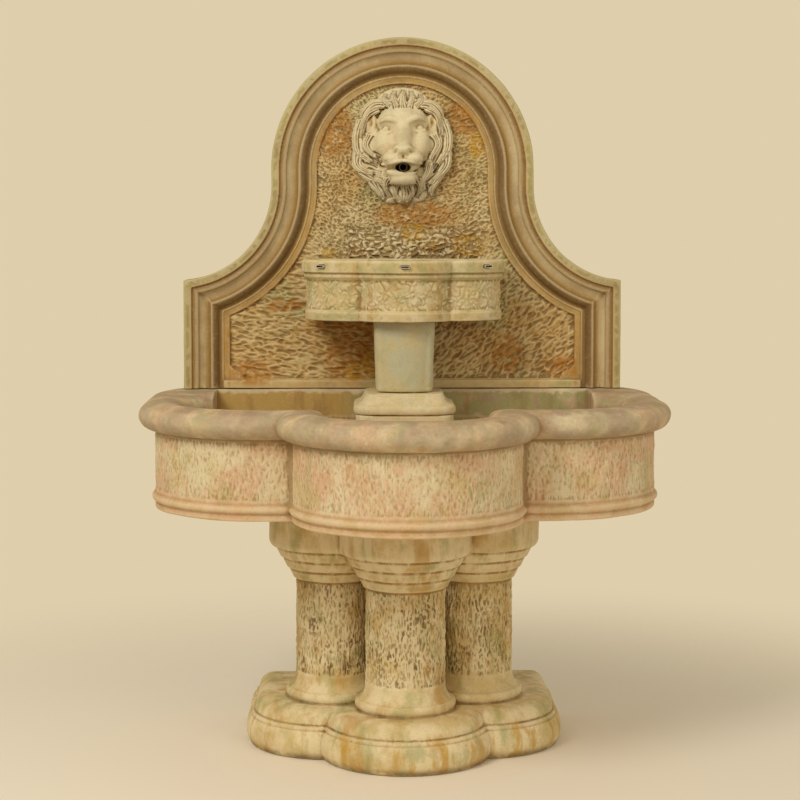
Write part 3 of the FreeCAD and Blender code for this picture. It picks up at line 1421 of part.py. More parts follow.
# Each hollow: middle, half widths and depth.
FACE_HOLLOWS = [
    ((-35, 34), (14, 10), 13),
    ((34, 37), (14, 10), 13),
    ((-64, 45), (6, 14), 12),
    ((61, 45), (6, 14), 12),
    ((-11, -13), (5, 4), 10),
    ((11, -13), (5, 4), 10),
    ((0, -45), (38, 5), 12),
]
EYEBALLS = [((-35, 34), (9, 6), 32, 18), ((34, 37), (9, 6), 32, 18)]
BEHIND_FIELD = -12.0


def mirrored(ridges):
    """The listed ridges and their mirror images."""
    return ridges + [([(-u, v) for u, v in path], half, base, rise) for path, half, base, rise in ridges]


MASK_RIDGES = MIDDLE_RIDGES + mirrored(SIDE_RIDGES)


def mask_height(u, v):
    """Height of the carved face above the field at u, v."""
    height = BEHIND_FIELD
    for middle, half, base, rise in MANE_DOMES + FACE_DOMES:
        height = max(height, dome(u, v, middle, half, base, rise))
    for path, half, base, rise in MASK_RIDGES:
        height = max(height, ridge(u, v, path, half, base, rise))
    for middle, half, depth in FACE_HOLLOWS:
        away = ((u - middle[0]) / half[0]) ** 2 + ((v - middle[1]) / half[1]) ** 2
        height -= depth * math.exp(-away * 1.5)
    for middle, half, base, rise in EYEBALLS:
        height = max(height, dome(u, v, middle, half, base, rise))
    return height


MASK_GRID = 9.0


def make_lion_mask():
    """The carved lion face: one smooth surface over a grid of heights, closed at the back."""
    columns = int(dim.mask_width.number / 2 / MASK_GRID) + 4
    rows = int(dim.mask_height.number / 2 / MASK_GRID) + 4
    poles = []
    for row in range(-rows, rows + 1):
        line = []
        for column in range(-columns, columns + 1):
            edge = abs(row) == rows or abs(column) == columns
            u = column * MASK_GRID
            v = row * MASK_GRID
            height = BEHIND_FIELD if edge else mask_height(u, v)
            line.append(Vector(u, -height, v))
        poles.append(line)
    degree = 3
    surface = Part.BSplineSurface()
    surface.buildFromPolesMultsKnots(
        poles,
        clamped(len(poles), degree), clamped(len(poles[0]), degree),
        list(range(len(poles) - degree + 1)), list(range(len(poles[0]) - degree + 1)),
        False, False, degree, degree,
    )
    front = surface.toShape()
    back = Part.Face(Part.Wire(Part.__sortEdges__(front.Edges)))
    solid = Part.Solid(Part.Shell([front, back]))
    if solid.Volume < 0:
        solid.reverse()
    carved = document.addObject("Part::Feature", "carved_face")
    carved.Shape = solid
    place(carved, ZERO, from_wall(FIELD_FACE), MASK_CENTRE)
    stock = box(
        "mask_stock", dim.mask_width * 1.5, dim.mask_relief * 1.5, dim.mask_height * 1.5, ZERO,
        from_wall(FIELD_FACE + dim.mask_relief * 0.75), MASK_CENTRE - dim.mask_height * 0.75,
    )
    face = common("carved_mask", carved, stock)
    mouth_front = FIELD_FACE + dim.mask_relief + SPARE
    mouth_depth = dim.mask_relief + SPARE - dim.mouth_floor
    mouth = document.addObject("Part::Cylinder", "open_mouth")
    bind(mouth, "Radius", dim.mouth_height / 2)
    bind(mouth, "Height", mouth_depth)
    sides = []
    reach = (dim.mouth_width - dim.mouth_height) / 2
    place(mouth, -1 * reach, from_wall(mouth_front), MOUTH_HEIGHT, ALONG_WALL_NORMAL)
    sides.append(mouth)
    sides.append(cylinder(
        "open_mouth_right", dim.mouth_height / 2, mouth_depth, reach, from_wall(mouth_front),
        MOUTH_HEIGHT, ALONG_WALL_NORMAL,
    ))
    sides.append(box(
        "open_mouth_middle", reach * 2, mouth_depth, dim.mouth_height, ZERO,
        from_wall(mouth_front - mouth_depth / 2), MOUTH_HEIGHT - dim.mouth_height / 2,
    ))
    sides.append(cylinder(
        "mask_pipe_bore", dim.pipe_radius + dim.pipe_gap, dim.mask_relief, ZERO,
        from_wall(FIELD_FACE + dim.mask_relief - 1), MOUTH_HEIGHT, ALONG_WALL_NORMAL,
    ))
    for side, sign in SIDES:
        sides.append(cylinder(
            "mask_stud_hole_" + side, dim.stud_radius + dim.snug_gap, dim.stud_in_mask + 1,
            sign * dim.stud_out, from_wall(FIELD_FACE + dim.stud_in_mask),
            MASK_CENTRE + dim.stud_above_centre, ALONG_WALL_NORMAL,
        ))
    return node("lion_mask", cut("mask", face, sides))


def clamped(count, degree):
    """Knot multiplicities of a curve that ends on its first and last pole."""
    return [degree + 1] + [1] * (count - degree - 1) + [degree + 1]


def make_mask_fixings():
    """Threaded studs cast into the mask, and their nuts and washers behind the panel."""
    studs = []
    nuts = []
    height = MASK_CENTRE + dim.stud_above_centre
    nut_front = dim.stud_pocket_depth - dim.washer_thickness
    for side, sign in SIDES:
        x = sign * dim.stud_out
        length = dim.stud_in_mask + FIELD_FACE - dim.stud_pocket_depth + dim.stud_tail
        front = from_wall(FIELD_FACE + dim.stud_in_mask)
        studs.append(cylinder(
            "stud_" + side, dim.stud_radius, length, x, front, height, ALONG_WALL_NORMAL
        ))
        washer = cylinder(
            "washer_" + side, dim.washer_radius, dim.washer_thickness, x,
            from_wall(dim.stud_pocket_depth), height, ALONG_WALL_NORMAL,
        )
        nut = hexagon(
            "nut_" + side, dim.nut_flats, dim.nut_height, x, from_wall(nut_front), height,
            ALONG_WALL_NORMAL,
        )
        bore = cylinder(
            "nut_bore_" + side, dim.stud_radius + dim.snug_gap, dim.washer_thickness + dim.nut_height + 2,
            x, from_wall(dim.stud_pocket_depth + 1), height, ALONG_WALL_NORMAL,
        )
        nuts.append(cut("mask_nut_" + side, fuse("nut_blank_" + side, [washer, nut]), [bore]))
    node("mask_studs", group("studs", studs))
    node("mask_nuts", group("nuts", nuts))


def ring(name, outer, inner, length, x, y, z, turn=None):
    """A plain ring or tube."""
    outside = cylinder(name + "_outside", outer, length, x, y, z, turn)
    bore = cylinder(name + "_bore", inner, length, x, y, z, turn)
    return cut(name, outside, [bore])


def hose_run(name, radius, extra):
    """The hose's path as a solid of one radius: pump to bend, bend, and up behind the panel."""
    top = MOUTH_HEIGHT - dim.elbow_drop - 1
    bend_top = OUTLET_HEIGHT + dim.hose_bend
    bend_start = dim.hose_from_wall + dim.hose_bend
    level = cylinder(
        name + "_level", radius, HOSE_START - bend_start + extra, ZERO,
        from_wall(HOSE_START + extra), OUTLET_HEIGHT, ALONG_WALL_NORMAL,
    )
    rise = cylinder(
        name + "_rise", radius, top - bend_top + extra, ZERO, from_wall(dim.hose_from_wall), bend_top
    )
    bend = document.addObject("Part::Torus", name + "_bend")
    bind(bend, "Radius1", dim.hose_bend)
    bind(bend, "Radius2", radius)
    bend.Angle3 = 90
    turn = Rotation(Vector(0, 0, -1), Vector(0, 1, 0), Vector(1, 0, 0), "XYZ")
    place(bend, ZERO, from_wall(bend_start), bend_top, turn)
    return fuse(name, [level, bend, rise])



def make_water_feed():
    """Hose, elbow, copper mouth pipe, and the clamps and clips of the hose."""
    node("feed_hose", cut("hose", hose_run("hose_outside", dim.hose_radius, ZERO),
                          [hose_run("hose_inside", dim.hose_bore, Size(1, "1"))]))
    wall_side = from_wall(dim.hose_from_wall)
    elbow_face = dim.channel_depth - dim.elbow_set_back
    socket_end = from_wall(elbow_face)
    elbow_length = elbow_face - dim.elbow_back
    barb_foot = MOUTH_HEIGHT - dim.elbow_drop - dim.elbow_barb_length
    body = [
        cylinder("elbow_across", dim.elbow_radius, elbow_length, ZERO, socket_end, MOUTH_HEIGHT,
                 ALONG_WALL_NORMAL),
        cylinder("elbow_stem", dim.elbow_radius - dim.elbow_stem_step, dim.elbow_drop, ZERO, wall_side,
                 MOUTH_HEIGHT - dim.elbow_drop),
        cylinder("elbow_barb", dim.barb_radius, dim.elbow_barb_length + 1, ZERO, wall_side, barb_foot),
    ]
    bores = [
        cylinder("elbow_bore_up", dim.barb_bore, dim.elbow_drop + dim.elbow_barb_length + 1, ZERO,
                 wall_side, barb_foot - 1),
        cylinder("elbow_bore_across", dim.barb_bore, elbow_length - dim.elbow_end_wall, ZERO, socket_end,
                 MOUTH_HEIGHT, ALONG_WALL_NORMAL),
        cylinder("elbow_socket", dim.pipe_radius + dim.snug_gap, dim.elbow_socket, ZERO, socket_end,
                 MOUTH_HEIGHT, ALONG_WALL_NORMAL),
    ]
    node("hose_elbow", cut("elbow", fuse("elbow_blank", body), bores))
    lips = FIELD_FACE + dim.mask_relief - dim.lip_drop
    pipe_start = lips - dim.pipe_recess
    pipe_length = pipe_start - elbow_face + dim.elbow_socket
    node("mouth_pipe", ring("pipe", dim.pipe_radius, dim.pipe_bore, pipe_length, ZERO,
                            from_wall(pipe_start), MOUTH_HEIGHT, ALONG_WALL_NORMAL))
    grip = dim.hose_radius + dim.snug_gap
    band = grip + dim.clamp_band
    housing = dim.clamp_screw_rise
    high = MOUTH_HEIGHT - dim.elbow_drop - 1 - dim.clamp_inset - dim.clamp_width
    low_start = from_wall(HOSE_START - dim.clamp_inset)
    clamps = []
    for place_name, y, z, turn in (
        ("pump", low_start, OUTLET_HEIGHT, ALONG_WALL_NORMAL),
        ("elbow", wall_side, high, Rotation()),
    ):
        outside = cylinder("clamp_band_" + place_name, band, dim.clamp_width, ZERO, y, z, turn)
        if place_name == "pump":
            screw = box("clamp_screw_" + place_name, dim.clamp_width, dim.clamp_width, housing + 1, ZERO,
                        y + dim.clamp_width / 2, z + band - 1)
        else:
            screw = box("clamp_screw_" + place_name, housing + 1, dim.clamp_width, dim.clamp_width,
                        band + housing / 2 - 0.5, y, z)
        bore = cylinder("clamp_bore_" + place_name, grip, dim.clamp_width, ZERO, y, z, turn)
        clamps.append(cut("clamp_" + place_name, fuse("clamp_blank_" + place_name, [outside, screw]),
                          [bore]))
    node("hose_clamps", group("clamps", clamps))
    clips = []
    outer = grip + dim.clip_band
    for index in range(3):
        z = RIM_TOP + dim.clip_first_height + index * dim.clip_spacing
        pad_depth = dim.channel_depth - dim.hose_from_wall
        outside = cylinder("clip_band_%d" % index, outer, dim.clip_width, ZERO, wall_side, z)
        pad = box("clip_pad_%d" % index, dim.clip_width, pad_depth, dim.clip_width, ZERO,
                  from_wall(dim.hose_from_wall + pad_depth / 2), z)
        bore = cylinder("clip_bore_%d" % index, grip, dim.clip_width, ZERO, wall_side, z)
        clips.append(cut("clip_%d" % index, fuse("clip_blank_%d" % index, [outside, pad]), [bore]))
    node("hose_clips", group("clips", clips))


def make_pump():
    """A small submersible pump in the chamber. Its rotor turns about X, its outlet faces the wall."""
    middle = from_wall(dim.riser_from_wall)
    front = dim.volute_length / 2
    back = -1 * front
    square = dim.motor_width
    foot_height = dim.pump_axis_height - square / 2
    motor = box("motor_block", dim.motor_length, square, square, back - dim.motor_length / 2, middle,
                PUMP_AXIS - square / 2)
    eased = document.addObject("Part::Fillet", "motor_eased")
    eased.Base = motor
    radius = dim.motor_round.number
    eased.Edges = [(edge, radius, radius) for edge in (9, 10, 11, 12, 2, 4, 6, 8)]
    well_depth = dim.rotor_length + dim.end_play * 2
    outlet_wall = dim.riser_from_wall - dim.outlet_reach
    casting = fuse("pump_casting", [
        eased,
        cylinder("volute_ring", dim.volute_radius, dim.volute_length, back, middle, PUMP_AXIS, ALONG_X),
        cylinder("outlet_stub", dim.outlet_radius, dim.outlet_reach, ZERO, middle, OUTLET_HEIGHT,
                 ALONG_WALL_NORMAL),
    ])
    node("pump_body", cut("pump_housing", casting, [
        cylinder("volute_chamber", dim.volute_bore, dim.volute_length + 1, back, middle, PUMP_AXIS,
                 ALONG_X),
        cylinder("rotor_well", dim.rotor_radius + dim.rotor_gap, well_depth, back - well_depth, middle,
                 PUMP_AXIS, ALONG_X),
        cylinder("rear_bush_seat", dim.bush_radius + dim.snug_gap, dim.bush_length + 1,
                 back - well_depth - dim.bush_length, middle, PUMP_AXIS, ALONG_X),
        cylinder("outlet_passage", dim.outlet_bore, dim.outlet_reach + 1, ZERO, middle, OUTLET_HEIGHT,
                 ALONG_WALL_NORMAL),
        cylinder("outlet_socket", dim.adapter_spigot_radius + dim.snug_gap, dim.adapter_spigot + 1, ZERO,
                 from_wall(outlet_wall + dim.adapter_spigot), OUTLET_HEIGHT, ALONG_WALL_NORMAL),
    ]))
    inlet = ring("volute_lid", dim.volute_radius, dim.inlet_radius, dim.volute_wall, front, middle,
                 PUMP_AXIS, ALONG_X)
    boss = cylinder("volute_boss", dim.bush_radius + 1.5, dim.volute_wall, front, middle, PUMP_AXIS,
                    ALONG_X)
    rib = box("volute_rib", dim.volute_wall, dim.inlet_radius * 2 + 2, 2, front + dim.volute_wall / 2,
              middle, PUMP_AXIS - 1)
    seat = cylinder("front_bush_seat", dim.bush_radius + dim.snug_gap, dim.volute_wall + 2, front - 1,
                    middle, PUMP_AXIS, ALONG_X)
    node("volute_cover", cut("volute_front", fuse("volute_front_blank", [inlet, boss, rib]), [seat]))
    shaft = dim.shaft_radius_pump
    rear = back - well_depth - dim.bush_length
    node("impeller_shaft", cylinder("shaft", shaft, front + dim.volute_wall - rear, rear, middle,
                                    PUMP_AXIS, ALONG_X))
    node("shaft_bushes", group("bushes", [
        ring("rear_bush", dim.bush_radius, shaft + dim.snug_gap, dim.bush_length, rear, middle, PUMP_AXIS,
             ALONG_X),
        ring("front_bush", dim.bush_radius, shaft + dim.snug_gap, dim.volute_wall, front, middle,
             PUMP_AXIS, ALONG_X),
    ]))
    disc_back = back + dim.end_play
    pieces = [
        cylinder("magnet", dim.rotor_radius, dim.rotor_length, back - dim.end_play - dim.rotor_length,
                 middle, PUMP_AXIS, ALONG_X),
        cylinder("hub", dim.hub_radius, dim.end_play * 2 + dim.impeller_disc + dim.blade_height,
                 back - dim.end_play, middle, PUMP_AXIS, ALONG_X),
        cylinder("blade_disc", dim.blade_disc_radius, dim.impeller_disc, disc_back, middle, PUMP_AXIS,
                 ALONG_X),
    ]
    blades = int(dim.blade_count.number)
    for index in range(blades // 2):
        blade = box("blade_%d" % index, dim.blade_height, dim.blade_disc_radius * 2 - 1,
                    dim.blade_thickness, ZERO, ZERO, ZERO)
        turn = Rotation(Vector(1, 0, 0), 360.0 / blades * index)
        corner = turn.multVec(Vector(0, 0.5 - dim.blade_disc_radius.number, dim.blade_thickness.number / -2))
        place(blade, disc_back + dim.impeller_disc, middle + corner.y, PUMP_AXIS + corner.z, turn)
        pieces.append(blade)
    bore = cylinder("impeller_bore", shaft + dim.shaft_gap, dim.rotor_length + dim.volute_length,
                    back - dim.end_play - dim.rotor_length - 1, middle, PUMP_AXIS, ALONG_X)
    node("impeller", cut("rotor", fuse("rotor_blank", pieces), [bore]))
    make_intake_cover(middle, front, back, square)
    adapter = fuse("adapter_blank", [
        cylinder("adapter_spigot_solid", dim.adapter_spigot_radius, dim.adapter_spigot + 1, ZERO,
                 from_wall(outlet_wall + dim.adapter_spigot), OUTLET_HEIGHT, ALONG_WALL_NORMAL),
        hexagon("adapter_hexagon", dim.adapter_flats, dim.adapter_hex, ZERO, from_wall(outlet_wall),
                OUTLET_HEIGHT, ALONG_WALL_NORMAL),
        cylinder("adapter_barb", dim.barb_radius, dim.barb_length + 1, ZERO,
                 from_wall(outlet_wall - dim.adapter_hex + 1), OUTLET_HEIGHT, ALONG_WALL_NORMAL),
    ])
    adapter_length = dim.adapter_spigot + dim.adapter_hex + dim.barb_length
    node("outlet_barb", cut("adapter", adapter, [
        cylinder("adapter_bore", dim.barb_bore, adapter_length + 2, ZERO,
                 from_wall(outlet_wall + dim.adapter_spigot + 1), OUTLET_HEIGHT, ALONG_WALL_NORMAL),
    ]))
    feet = []
    inset = dim.pump_foot_radius + dim.pump_foot_inset
    for end, x in (("near", back - inset), ("far", back - dim.motor_length + inset)):
        for side, sign in (("front", -1), ("rear", 1)):
            feet.append(cone("foot_%s_%s" % (end, side), dim.pump_foot_radius,
                             dim.pump_foot_radius * 0.6, foot_height, x,
                             middle + sign * (square / 2 - inset), FLOOR_TOP))
    node("pump_feet", group("feet", feet))
    gland_end = back - dim.motor_length - dim.gland_length
    node("cord_gland", ring("gland", dim.gland_radius, dim.gland_bore, dim.gland_length, gland_end, middle,
                            PUMP_AXIS, ALONG_X))


def make_intake_cover(middle, front, back, square):
    """The slotted cover that pulls off along X, and the flow dial in its end."""
    length = dim.cover_length
    wall = dim.cover_wall
    end = back + length
    low = PUMP_AXIS - square / 2
    outside = box("cover_outside", length, square, square, back + length / 2, middle, low)
    inside = box("cover_inside", length - wall + 1, square - wall * 2, square - wall * 2,
                 back + (length - wall - 1) / 2, middle, low + wall)
    stub = dim.outlet_radius + 0.5
    notch = box("cover_notch", dim.volute_length + 2, square, stub * 2, back + front, middle + square / 2,
                OUTLET_HEIGHT - stub)
    tools = [inside, notch]
    rise = dim.cover_slot_height
    for index in range(-3, 4):
        y = middle + index * dim.cover_slot_pitch
        for side, z in (("high", PUMP_AXIS + square / 2 - wall * 2 - rise),
                        ("low", PUMP_AXIS - square / 2 + wall * 2)):
            tools.append(box("end_slot_%d_%s" % (index + 3, side), wall * 4, dim.cover_slot, rise, end, y,
                             z))
    tools.append(cylinder("dial_hole", dim.dial_stem_radius + dim.shaft_gap, wall * 4, end - wall * 2,
                          middle, PUMP_AXIS, ALONG_X))
    window_z = PUMP_AXIS + dim.dial_window_low
    tools.append(box("cover_window", wall * 4, dim.dial_window_width, dim.dial_window_height, end, middle,
                     window_z))
    node("intake_cover", cut("cover", outside, tools))
    thick = dim.dial_thickness
    head = dim.dial_head_thickness
    pointer = dim.dial_pointer_length
    gap = dim.shaft_gap
    dial = fuse("dial_blank", [
        cylinder("dial_disc", dim.dial_radius, thick, end + gap, middle, PUMP_AXIS, ALONG_X),
        cylinder("dial_stem", dim.dial_stem_radius, thick + wall + gap * 2, end - wall - gap, middle,
                 PUMP_AXIS, ALONG_X),
        cylinder("dial_head", dim.dial_head_radius - 1, head, end - wall - gap - head, middle, PUMP_AXIS,
                 ALONG_X),
        box("dial_pointer", thick, dim.dial_pointer_width, pointer, end + gap + thick / 2, middle,
            PUMP_AXIS - dim.dial_radius - pointer / 2),
    ])
    window = box("dial_window", thick * 3, dim.dial_window_width, dim.dial_window_height, end + thick,
                 middle, window_z)
    node("flow_dial", cut("dial", dial, [window]))


def make_drain():
    """A drain bushing through the basin floor, its seal and nut, and a lift-out stopper."""
    x = -1 * dim.drain_out
    y = from_wall(dim.drain_from_wall)
    under = dim.pedestal_height
    thread_foot = under - dim.drain_thread_length
    foot = thread_foot - dim.drain_tail_length
    body = fuse("drain_blank", [
        cylinder("drain_flange", dim.drain_flange_radius, dim.drain_flange_height, x, y, FLOOR_TOP),
        cylinder("drain_thread", dim.drain_thread_radius, FLOOR_TOP + 1 - thread_foot, x, y, thread_foot),
        cylinder("drain_hose_tail", dim.drain_tail_radius, dim.drain_tail_length + 1, x, y, foot),
    ])
    bore_height = FLOOR_TOP + dim.drain_flange_height - foot + 2
    node("drain_bushing", cut("drain", body, [
        cylinder("drain_passage", dim.drain_bore, bore_height, x, y, foot - 1)
    ]))
    grip = dim.drain_thread_radius + dim.snug_gap
    node("drain_seal", ring("seal", dim.drain_thread_radius + dim.drain_seal_width, grip,
                            dim.drain_seal_height, x, y, under - dim.drain_seal_height))
    nut_foot = under - dim.drain_seal_height - dim.drain_nut_height
    nut = hexagon("drain_nut_blank", dim.drain_nut_flats, dim.drain_nut_height, x, y, nut_foot)
    node("drain_nut", cut("lock_nut", nut, [
        cylinder("drain_nut_bore", grip, dim.drain_nut_height + 2, x, y, nut_foot - 1)
    ]))
    seat = FLOOR_TOP + dim.drain_flange_height
    handle = document.addObject("Part::Torus", "stopper_ring")
    bind(handle, "Radius1", dim.stopper_ring_radius)
    bind(handle, "Radius2", dim.stopper_ring_wire)
    place(handle, x, y, seat + dim.stopper_cap_height + dim.stopper_ring_radius - 1, STANDING)
    node("drain_stopper", fuse("stopper", [
        cylinder("stopper_plug", dim.drain_bore - dim.stopper_gap, dim.stopper_depth + 1, x, y,
                 seat - dim.stopper_depth),
        cylinder("stopper_cap", dim.stopper_cap_radius, dim.stopper_cap_height, x, y, seat),
        handle,
    ]))


def check_and_write():
    """Recompute, refuse anything failed or empty, and write each sub-part to its own file."""
    document.recompute()
    for item in document.Objects:
        if "Invalid" in item.State or "Error" in item.State:
            raise RuntimeError("%s failed: %s" % (item.Name, item.State))
    for body in document.findObjects("PartDesign::Body"):
        before = None
        for step in body.Group:
            if not step.isDerivedFrom("PartDesign::Feature"):
                continue
            volume = step.Shape.Volume
            if before is not None and abs(volume - before) < 1:
                raise RuntimeError("%s changes nothing" % step.Name)
            before = volume
    os.makedirs("parts", exist_ok=True)
    for name, item in nodes.items():
        shape = item.Shape
        if shape.isNull() or not shape.isValid():
            raise RuntimeError("%s has no valid shape" % name)
        shape.exportStep("parts/%s.step" % name)
        solids = len(shape.Solids)
        print("%-16s %2d solids %9.1f cm3" % (name, solids, shape.Volume / 1000))


make_pedestal()
make_basin()
make_back_panel()
make_panel_fixings()
make_pump_chamber()
make_riser_base()
make_riser()
make_upper_bowl()
make_spouts()
make_lion_mask()
make_mask_fixings()
make_water_feed()
make_pump()
make_drain()
check_and_write()
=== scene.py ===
import math

import bpy
import numpy as np
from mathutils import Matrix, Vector


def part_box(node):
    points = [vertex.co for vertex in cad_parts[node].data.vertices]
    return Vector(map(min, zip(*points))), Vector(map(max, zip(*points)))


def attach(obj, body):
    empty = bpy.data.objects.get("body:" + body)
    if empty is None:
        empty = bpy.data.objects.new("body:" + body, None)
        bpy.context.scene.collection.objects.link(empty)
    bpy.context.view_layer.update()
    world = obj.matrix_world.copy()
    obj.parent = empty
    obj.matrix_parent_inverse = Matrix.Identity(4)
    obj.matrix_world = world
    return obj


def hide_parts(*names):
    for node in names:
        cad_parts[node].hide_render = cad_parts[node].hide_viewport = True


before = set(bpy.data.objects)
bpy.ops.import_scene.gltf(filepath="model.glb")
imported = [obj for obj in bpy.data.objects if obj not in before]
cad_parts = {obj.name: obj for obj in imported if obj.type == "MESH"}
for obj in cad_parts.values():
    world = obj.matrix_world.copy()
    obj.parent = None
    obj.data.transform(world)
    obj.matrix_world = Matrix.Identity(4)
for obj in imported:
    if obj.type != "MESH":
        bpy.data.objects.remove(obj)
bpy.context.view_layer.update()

bl_info = {
    "name": "Garden Wall Fountain",
    "version": (1, 0, 0),
    "blender": (4, 5, 0),
    "location": "View3D > Sidebar > Fountain",
    "description": "Models the visible surfaces of an aged cast stone wall fountain round its CAD frame",
    "category": "Object",
}

MM = 0.001
BODY = "fountain"


def low(node):
    """Lowest corner of a CAD node at rest."""
    return Vector(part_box(node)[0])


def high(node):
    """Highest corner of a CAD node at rest."""
    return Vector(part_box(node)[1])


# Places that the pieces share, all taken from the frame, in metres.
WALL = high("back_panel").y
FIELD = WALL - 50 * MM
PANEL_FOOT = low("back_panel").z
BASIN_FOOT = low("basin").z
RIM_TOP = high("basin").z
BOWL_FOOT = low("upper_bowl").z
BOWL_TOP = high("upper_bowl").z
MASK_MIDDLE = (low("lion_mask") + high("lion_mask")) / 2
MOUTH = (low("mouth_pipe") + high("mouth_pipe")) / 2
# Behind these places the castings are plain, because they stand against the wall.
PLAIN_BACK = WALL - 12 * MM
BASIN_BACK = WALL - 15 * MM
# Corners of a CAD node's mesh that lie nearer to each other than this are merged.
WELD = 0.02 * MM
# Vertex groups are filled in this many steps of weight.
WEIGHT_STEPS = 10
# Triangles that a large casting and the lion mask keep.
CASTING_FACES = 190000
MASK_FACES = 150000


def hex_to_linear(code):
    """An sRGB hex colour as the linear colour that a shader takes."""
    channels = []
    for start in (1, 3, 5):
        value = int(code[start:start + 2], 16) / 255
        channels.append(value / 12.92 if value <= 0.04045 else ((value + 0.055) / 1.055) ** 2.4)
    return (*channels, 1.0)


def tint(name, description, code):
    """A colour setting whose default is an sRGB hex value."""
    return bpy.props.FloatVectorProperty(
        name=name, description=description, subtype="COLOR", size=4, min=0.0, max=1.0,
        default=hex_to_linear(code),
    )


def length(name, description, millimetres):
    """A length setting given in millimetres and kept in metres."""
    return bpy.props.FloatProperty(
        name=name, description=description, subtype="DISTANCE", unit="LENGTH", min=0.0,
        default=millimetres * MM,
    )


class StoneColors(bpy.types.PropertyGroup):
    """Colours of the aged cast stone and of the fittings"""

    sand: tint("Sand", "Dry cast stone of the panel", "#CDB478")
    ochre: tint("Ochre", "Iron stained cast stone", "#BA8E40")
    # Umber also paints the shade in the upper bowl's hollow, and specks in the painted shadow under the
    # bowl.
    umber: tint("Umber", "Dark brown wash in deep hollows", "#553716")
    bistre: tint("Bistre", "Mid brown wash in shallow tool marks", "#8A6A34")
    # Rust also paints the shadow under the bowl on the panel.
    rust: tint("Rust", "Orange brown iron stain", "#B07620")
    gold: tint("Gold", "Yellow iron stain", "#BE9020")
    moss: tint("Moss", "Green tint of algae", "#9A9A5C")
    rose: tint("Rose", "Pinkish wash on the basin", "#D6A67C")
    # Cream is also the painted highlight on the ridges, along the frame's crown and on the capitals.
    cream: tint("Cream", "Rubbed high places of the castings", "#E6D4A6")
    pale: tint("Pale", "Bare cast stone of the mask and the bowl", "#DCC99C")
    dun: tint("Dun", "Brown weathering of the rolled rim", "#937A60")
    lichen: tint("Lichen", "Grey green weathering of the riser", "#BDB68E")
    backdrop: tint("Backdrop", "Studio floor", "#F1E5CC")


class StoneSizes(bpy.types.PropertyGroup):
    """Depths of the tool marks and spacing of the meshes that carry them"""

    panel_mesh: length("Panel Mesh", "Spacing of the panel's surface points", 1.8)
    panel_scoop: length("Panel Scoop", "Depth of the hammered scoops in the field", 3.6)
    panel_crack: length("Panel Crack", "Depth of the crossed cuts above the bowl", 4.5)
    basin_mesh: length("Basin Mesh", "Spacing of the basin's surface points", 2.3)
    basin_stroke: length("Basin Stroke", "Depth of the chisel strokes on the basin", 1.5)
    column_mesh: length("Column Mesh", "Spacing of the pedestal's surface points", 1.8)
    column_pit: length("Column Pit", "Depth of the pits in the columns", 2.6)
    column_groove: length("Column Groove", "Depth of the grooves round capitals and plinth", 2.4)
    bowl_mesh: length("Bowl Mesh", "Spacing of the upper bowl's surface points", 1.6)
    bowl_crackle: length("Bowl Crackle", "Depth of the crackled band", 1.8)
    mask_comb: length("Mask Comb", "Depth of the comb marks in the mane", 3.0)
    mask_mesh: length("Mask Mesh", "Spacing of the lion mask's surface points", 1.5)


def colors():
    """The colour settings."""
    return bpy.context.scene.fountain_colors


def sizes():
    """The size settings."""
    return bpy.context.scene.fountain_sizes


def clear_selection():
    """Leave edit mode and deselect everything, because the frame arrives selected."""
    if bpy.context.object and bpy.context.object.mode != "OBJECT":
        bpy.ops.object.mode_set(mode="OBJECT")
    bpy.ops.object.select_all(action="DESELECT")


def select_only(piece):
    """Make one piece the active and only selected object."""
    clear_selection()
    piece.select_set(True)
    bpy.context.view_layer.objects.active = piece


def apply_all(piece):
    """Apply every modifier of a piece in order."""
    select_only(piece)
    for modifier in list(piece.modifiers):
        bpy.ops.object.modifier_apply(modifier=modifier.name)


def casting_copy(node, name):
    """A merged copy of a CAD node's mesh as a piece of its own."""
    piece = bpy.data.objects.new(name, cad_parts[node].data.copy())
    bpy.context.scene.collection.objects.link(piece)
    select_only(piece)
    bpy.ops.object.mode_set(mode="EDIT")
    bpy.ops.mesh.select_all(action="SELECT")
    bpy.ops.mesh.remove_doubles(threshold=WELD)
    bpy.ops.object.mode_set(mode="OBJECT")
    return piece


def even_mesh(piece, spacing, polish=0):
    """Replace the piece's mesh by an even one that can carry fine relief, and smooth it a little."""
    remesh = piece.modifiers.new("Even Mesh", "REMESH")
    remesh.mode = "VOXEL"
    remesh.voxel_size = spacing
    if polish:
        soften = piece.modifiers.new("Polish", "SMOOTH")
        soften.factor = 0.5
        soften.iterations = polish
    apply_all(piece)


def surface(piece):
    """Places and normals of a piece's vertices, one row each."""
    count = len(piece.data.vertices)
    places = np.empty(count * 3)
    normals = np.empty(count * 3)
    piece.data.vertices.foreach_get("co", places)
    piece.data.vertex_normals.foreach_get("vector", normals)
    return places.reshape(-1, 3), normals.reshape(-1, 3)


def ease(value, start, end):
    """Smooth step from 0 at start to 1 at end, for numbers or arrays."""
    part = np.clip((value - start) / (end - start), 0.0, 1.0)
    return part * part * (3 - 2 * part)


def between(value, start, end, soft):
    """Soft edged band that is 1 between start and end."""
    return ease(value, start - soft, start) * (1 - ease(value, end, end + soft))


def mark(piece, name, weights):
    """Fill a vertex group with the given weights, in even steps."""
    group = piece.vertex_groups.new(name=name)
    steps = np.rint(np.clip(weights, 0, 1) * WEIGHT_STEPS).astype(int)
    for step in range(1, WEIGHT_STEPS + 1):
        members = np.nonzero(steps == step)[0].tolist()
        if members:
            group.add(members, step / WEIGHT_STEPS, "REPLACE")


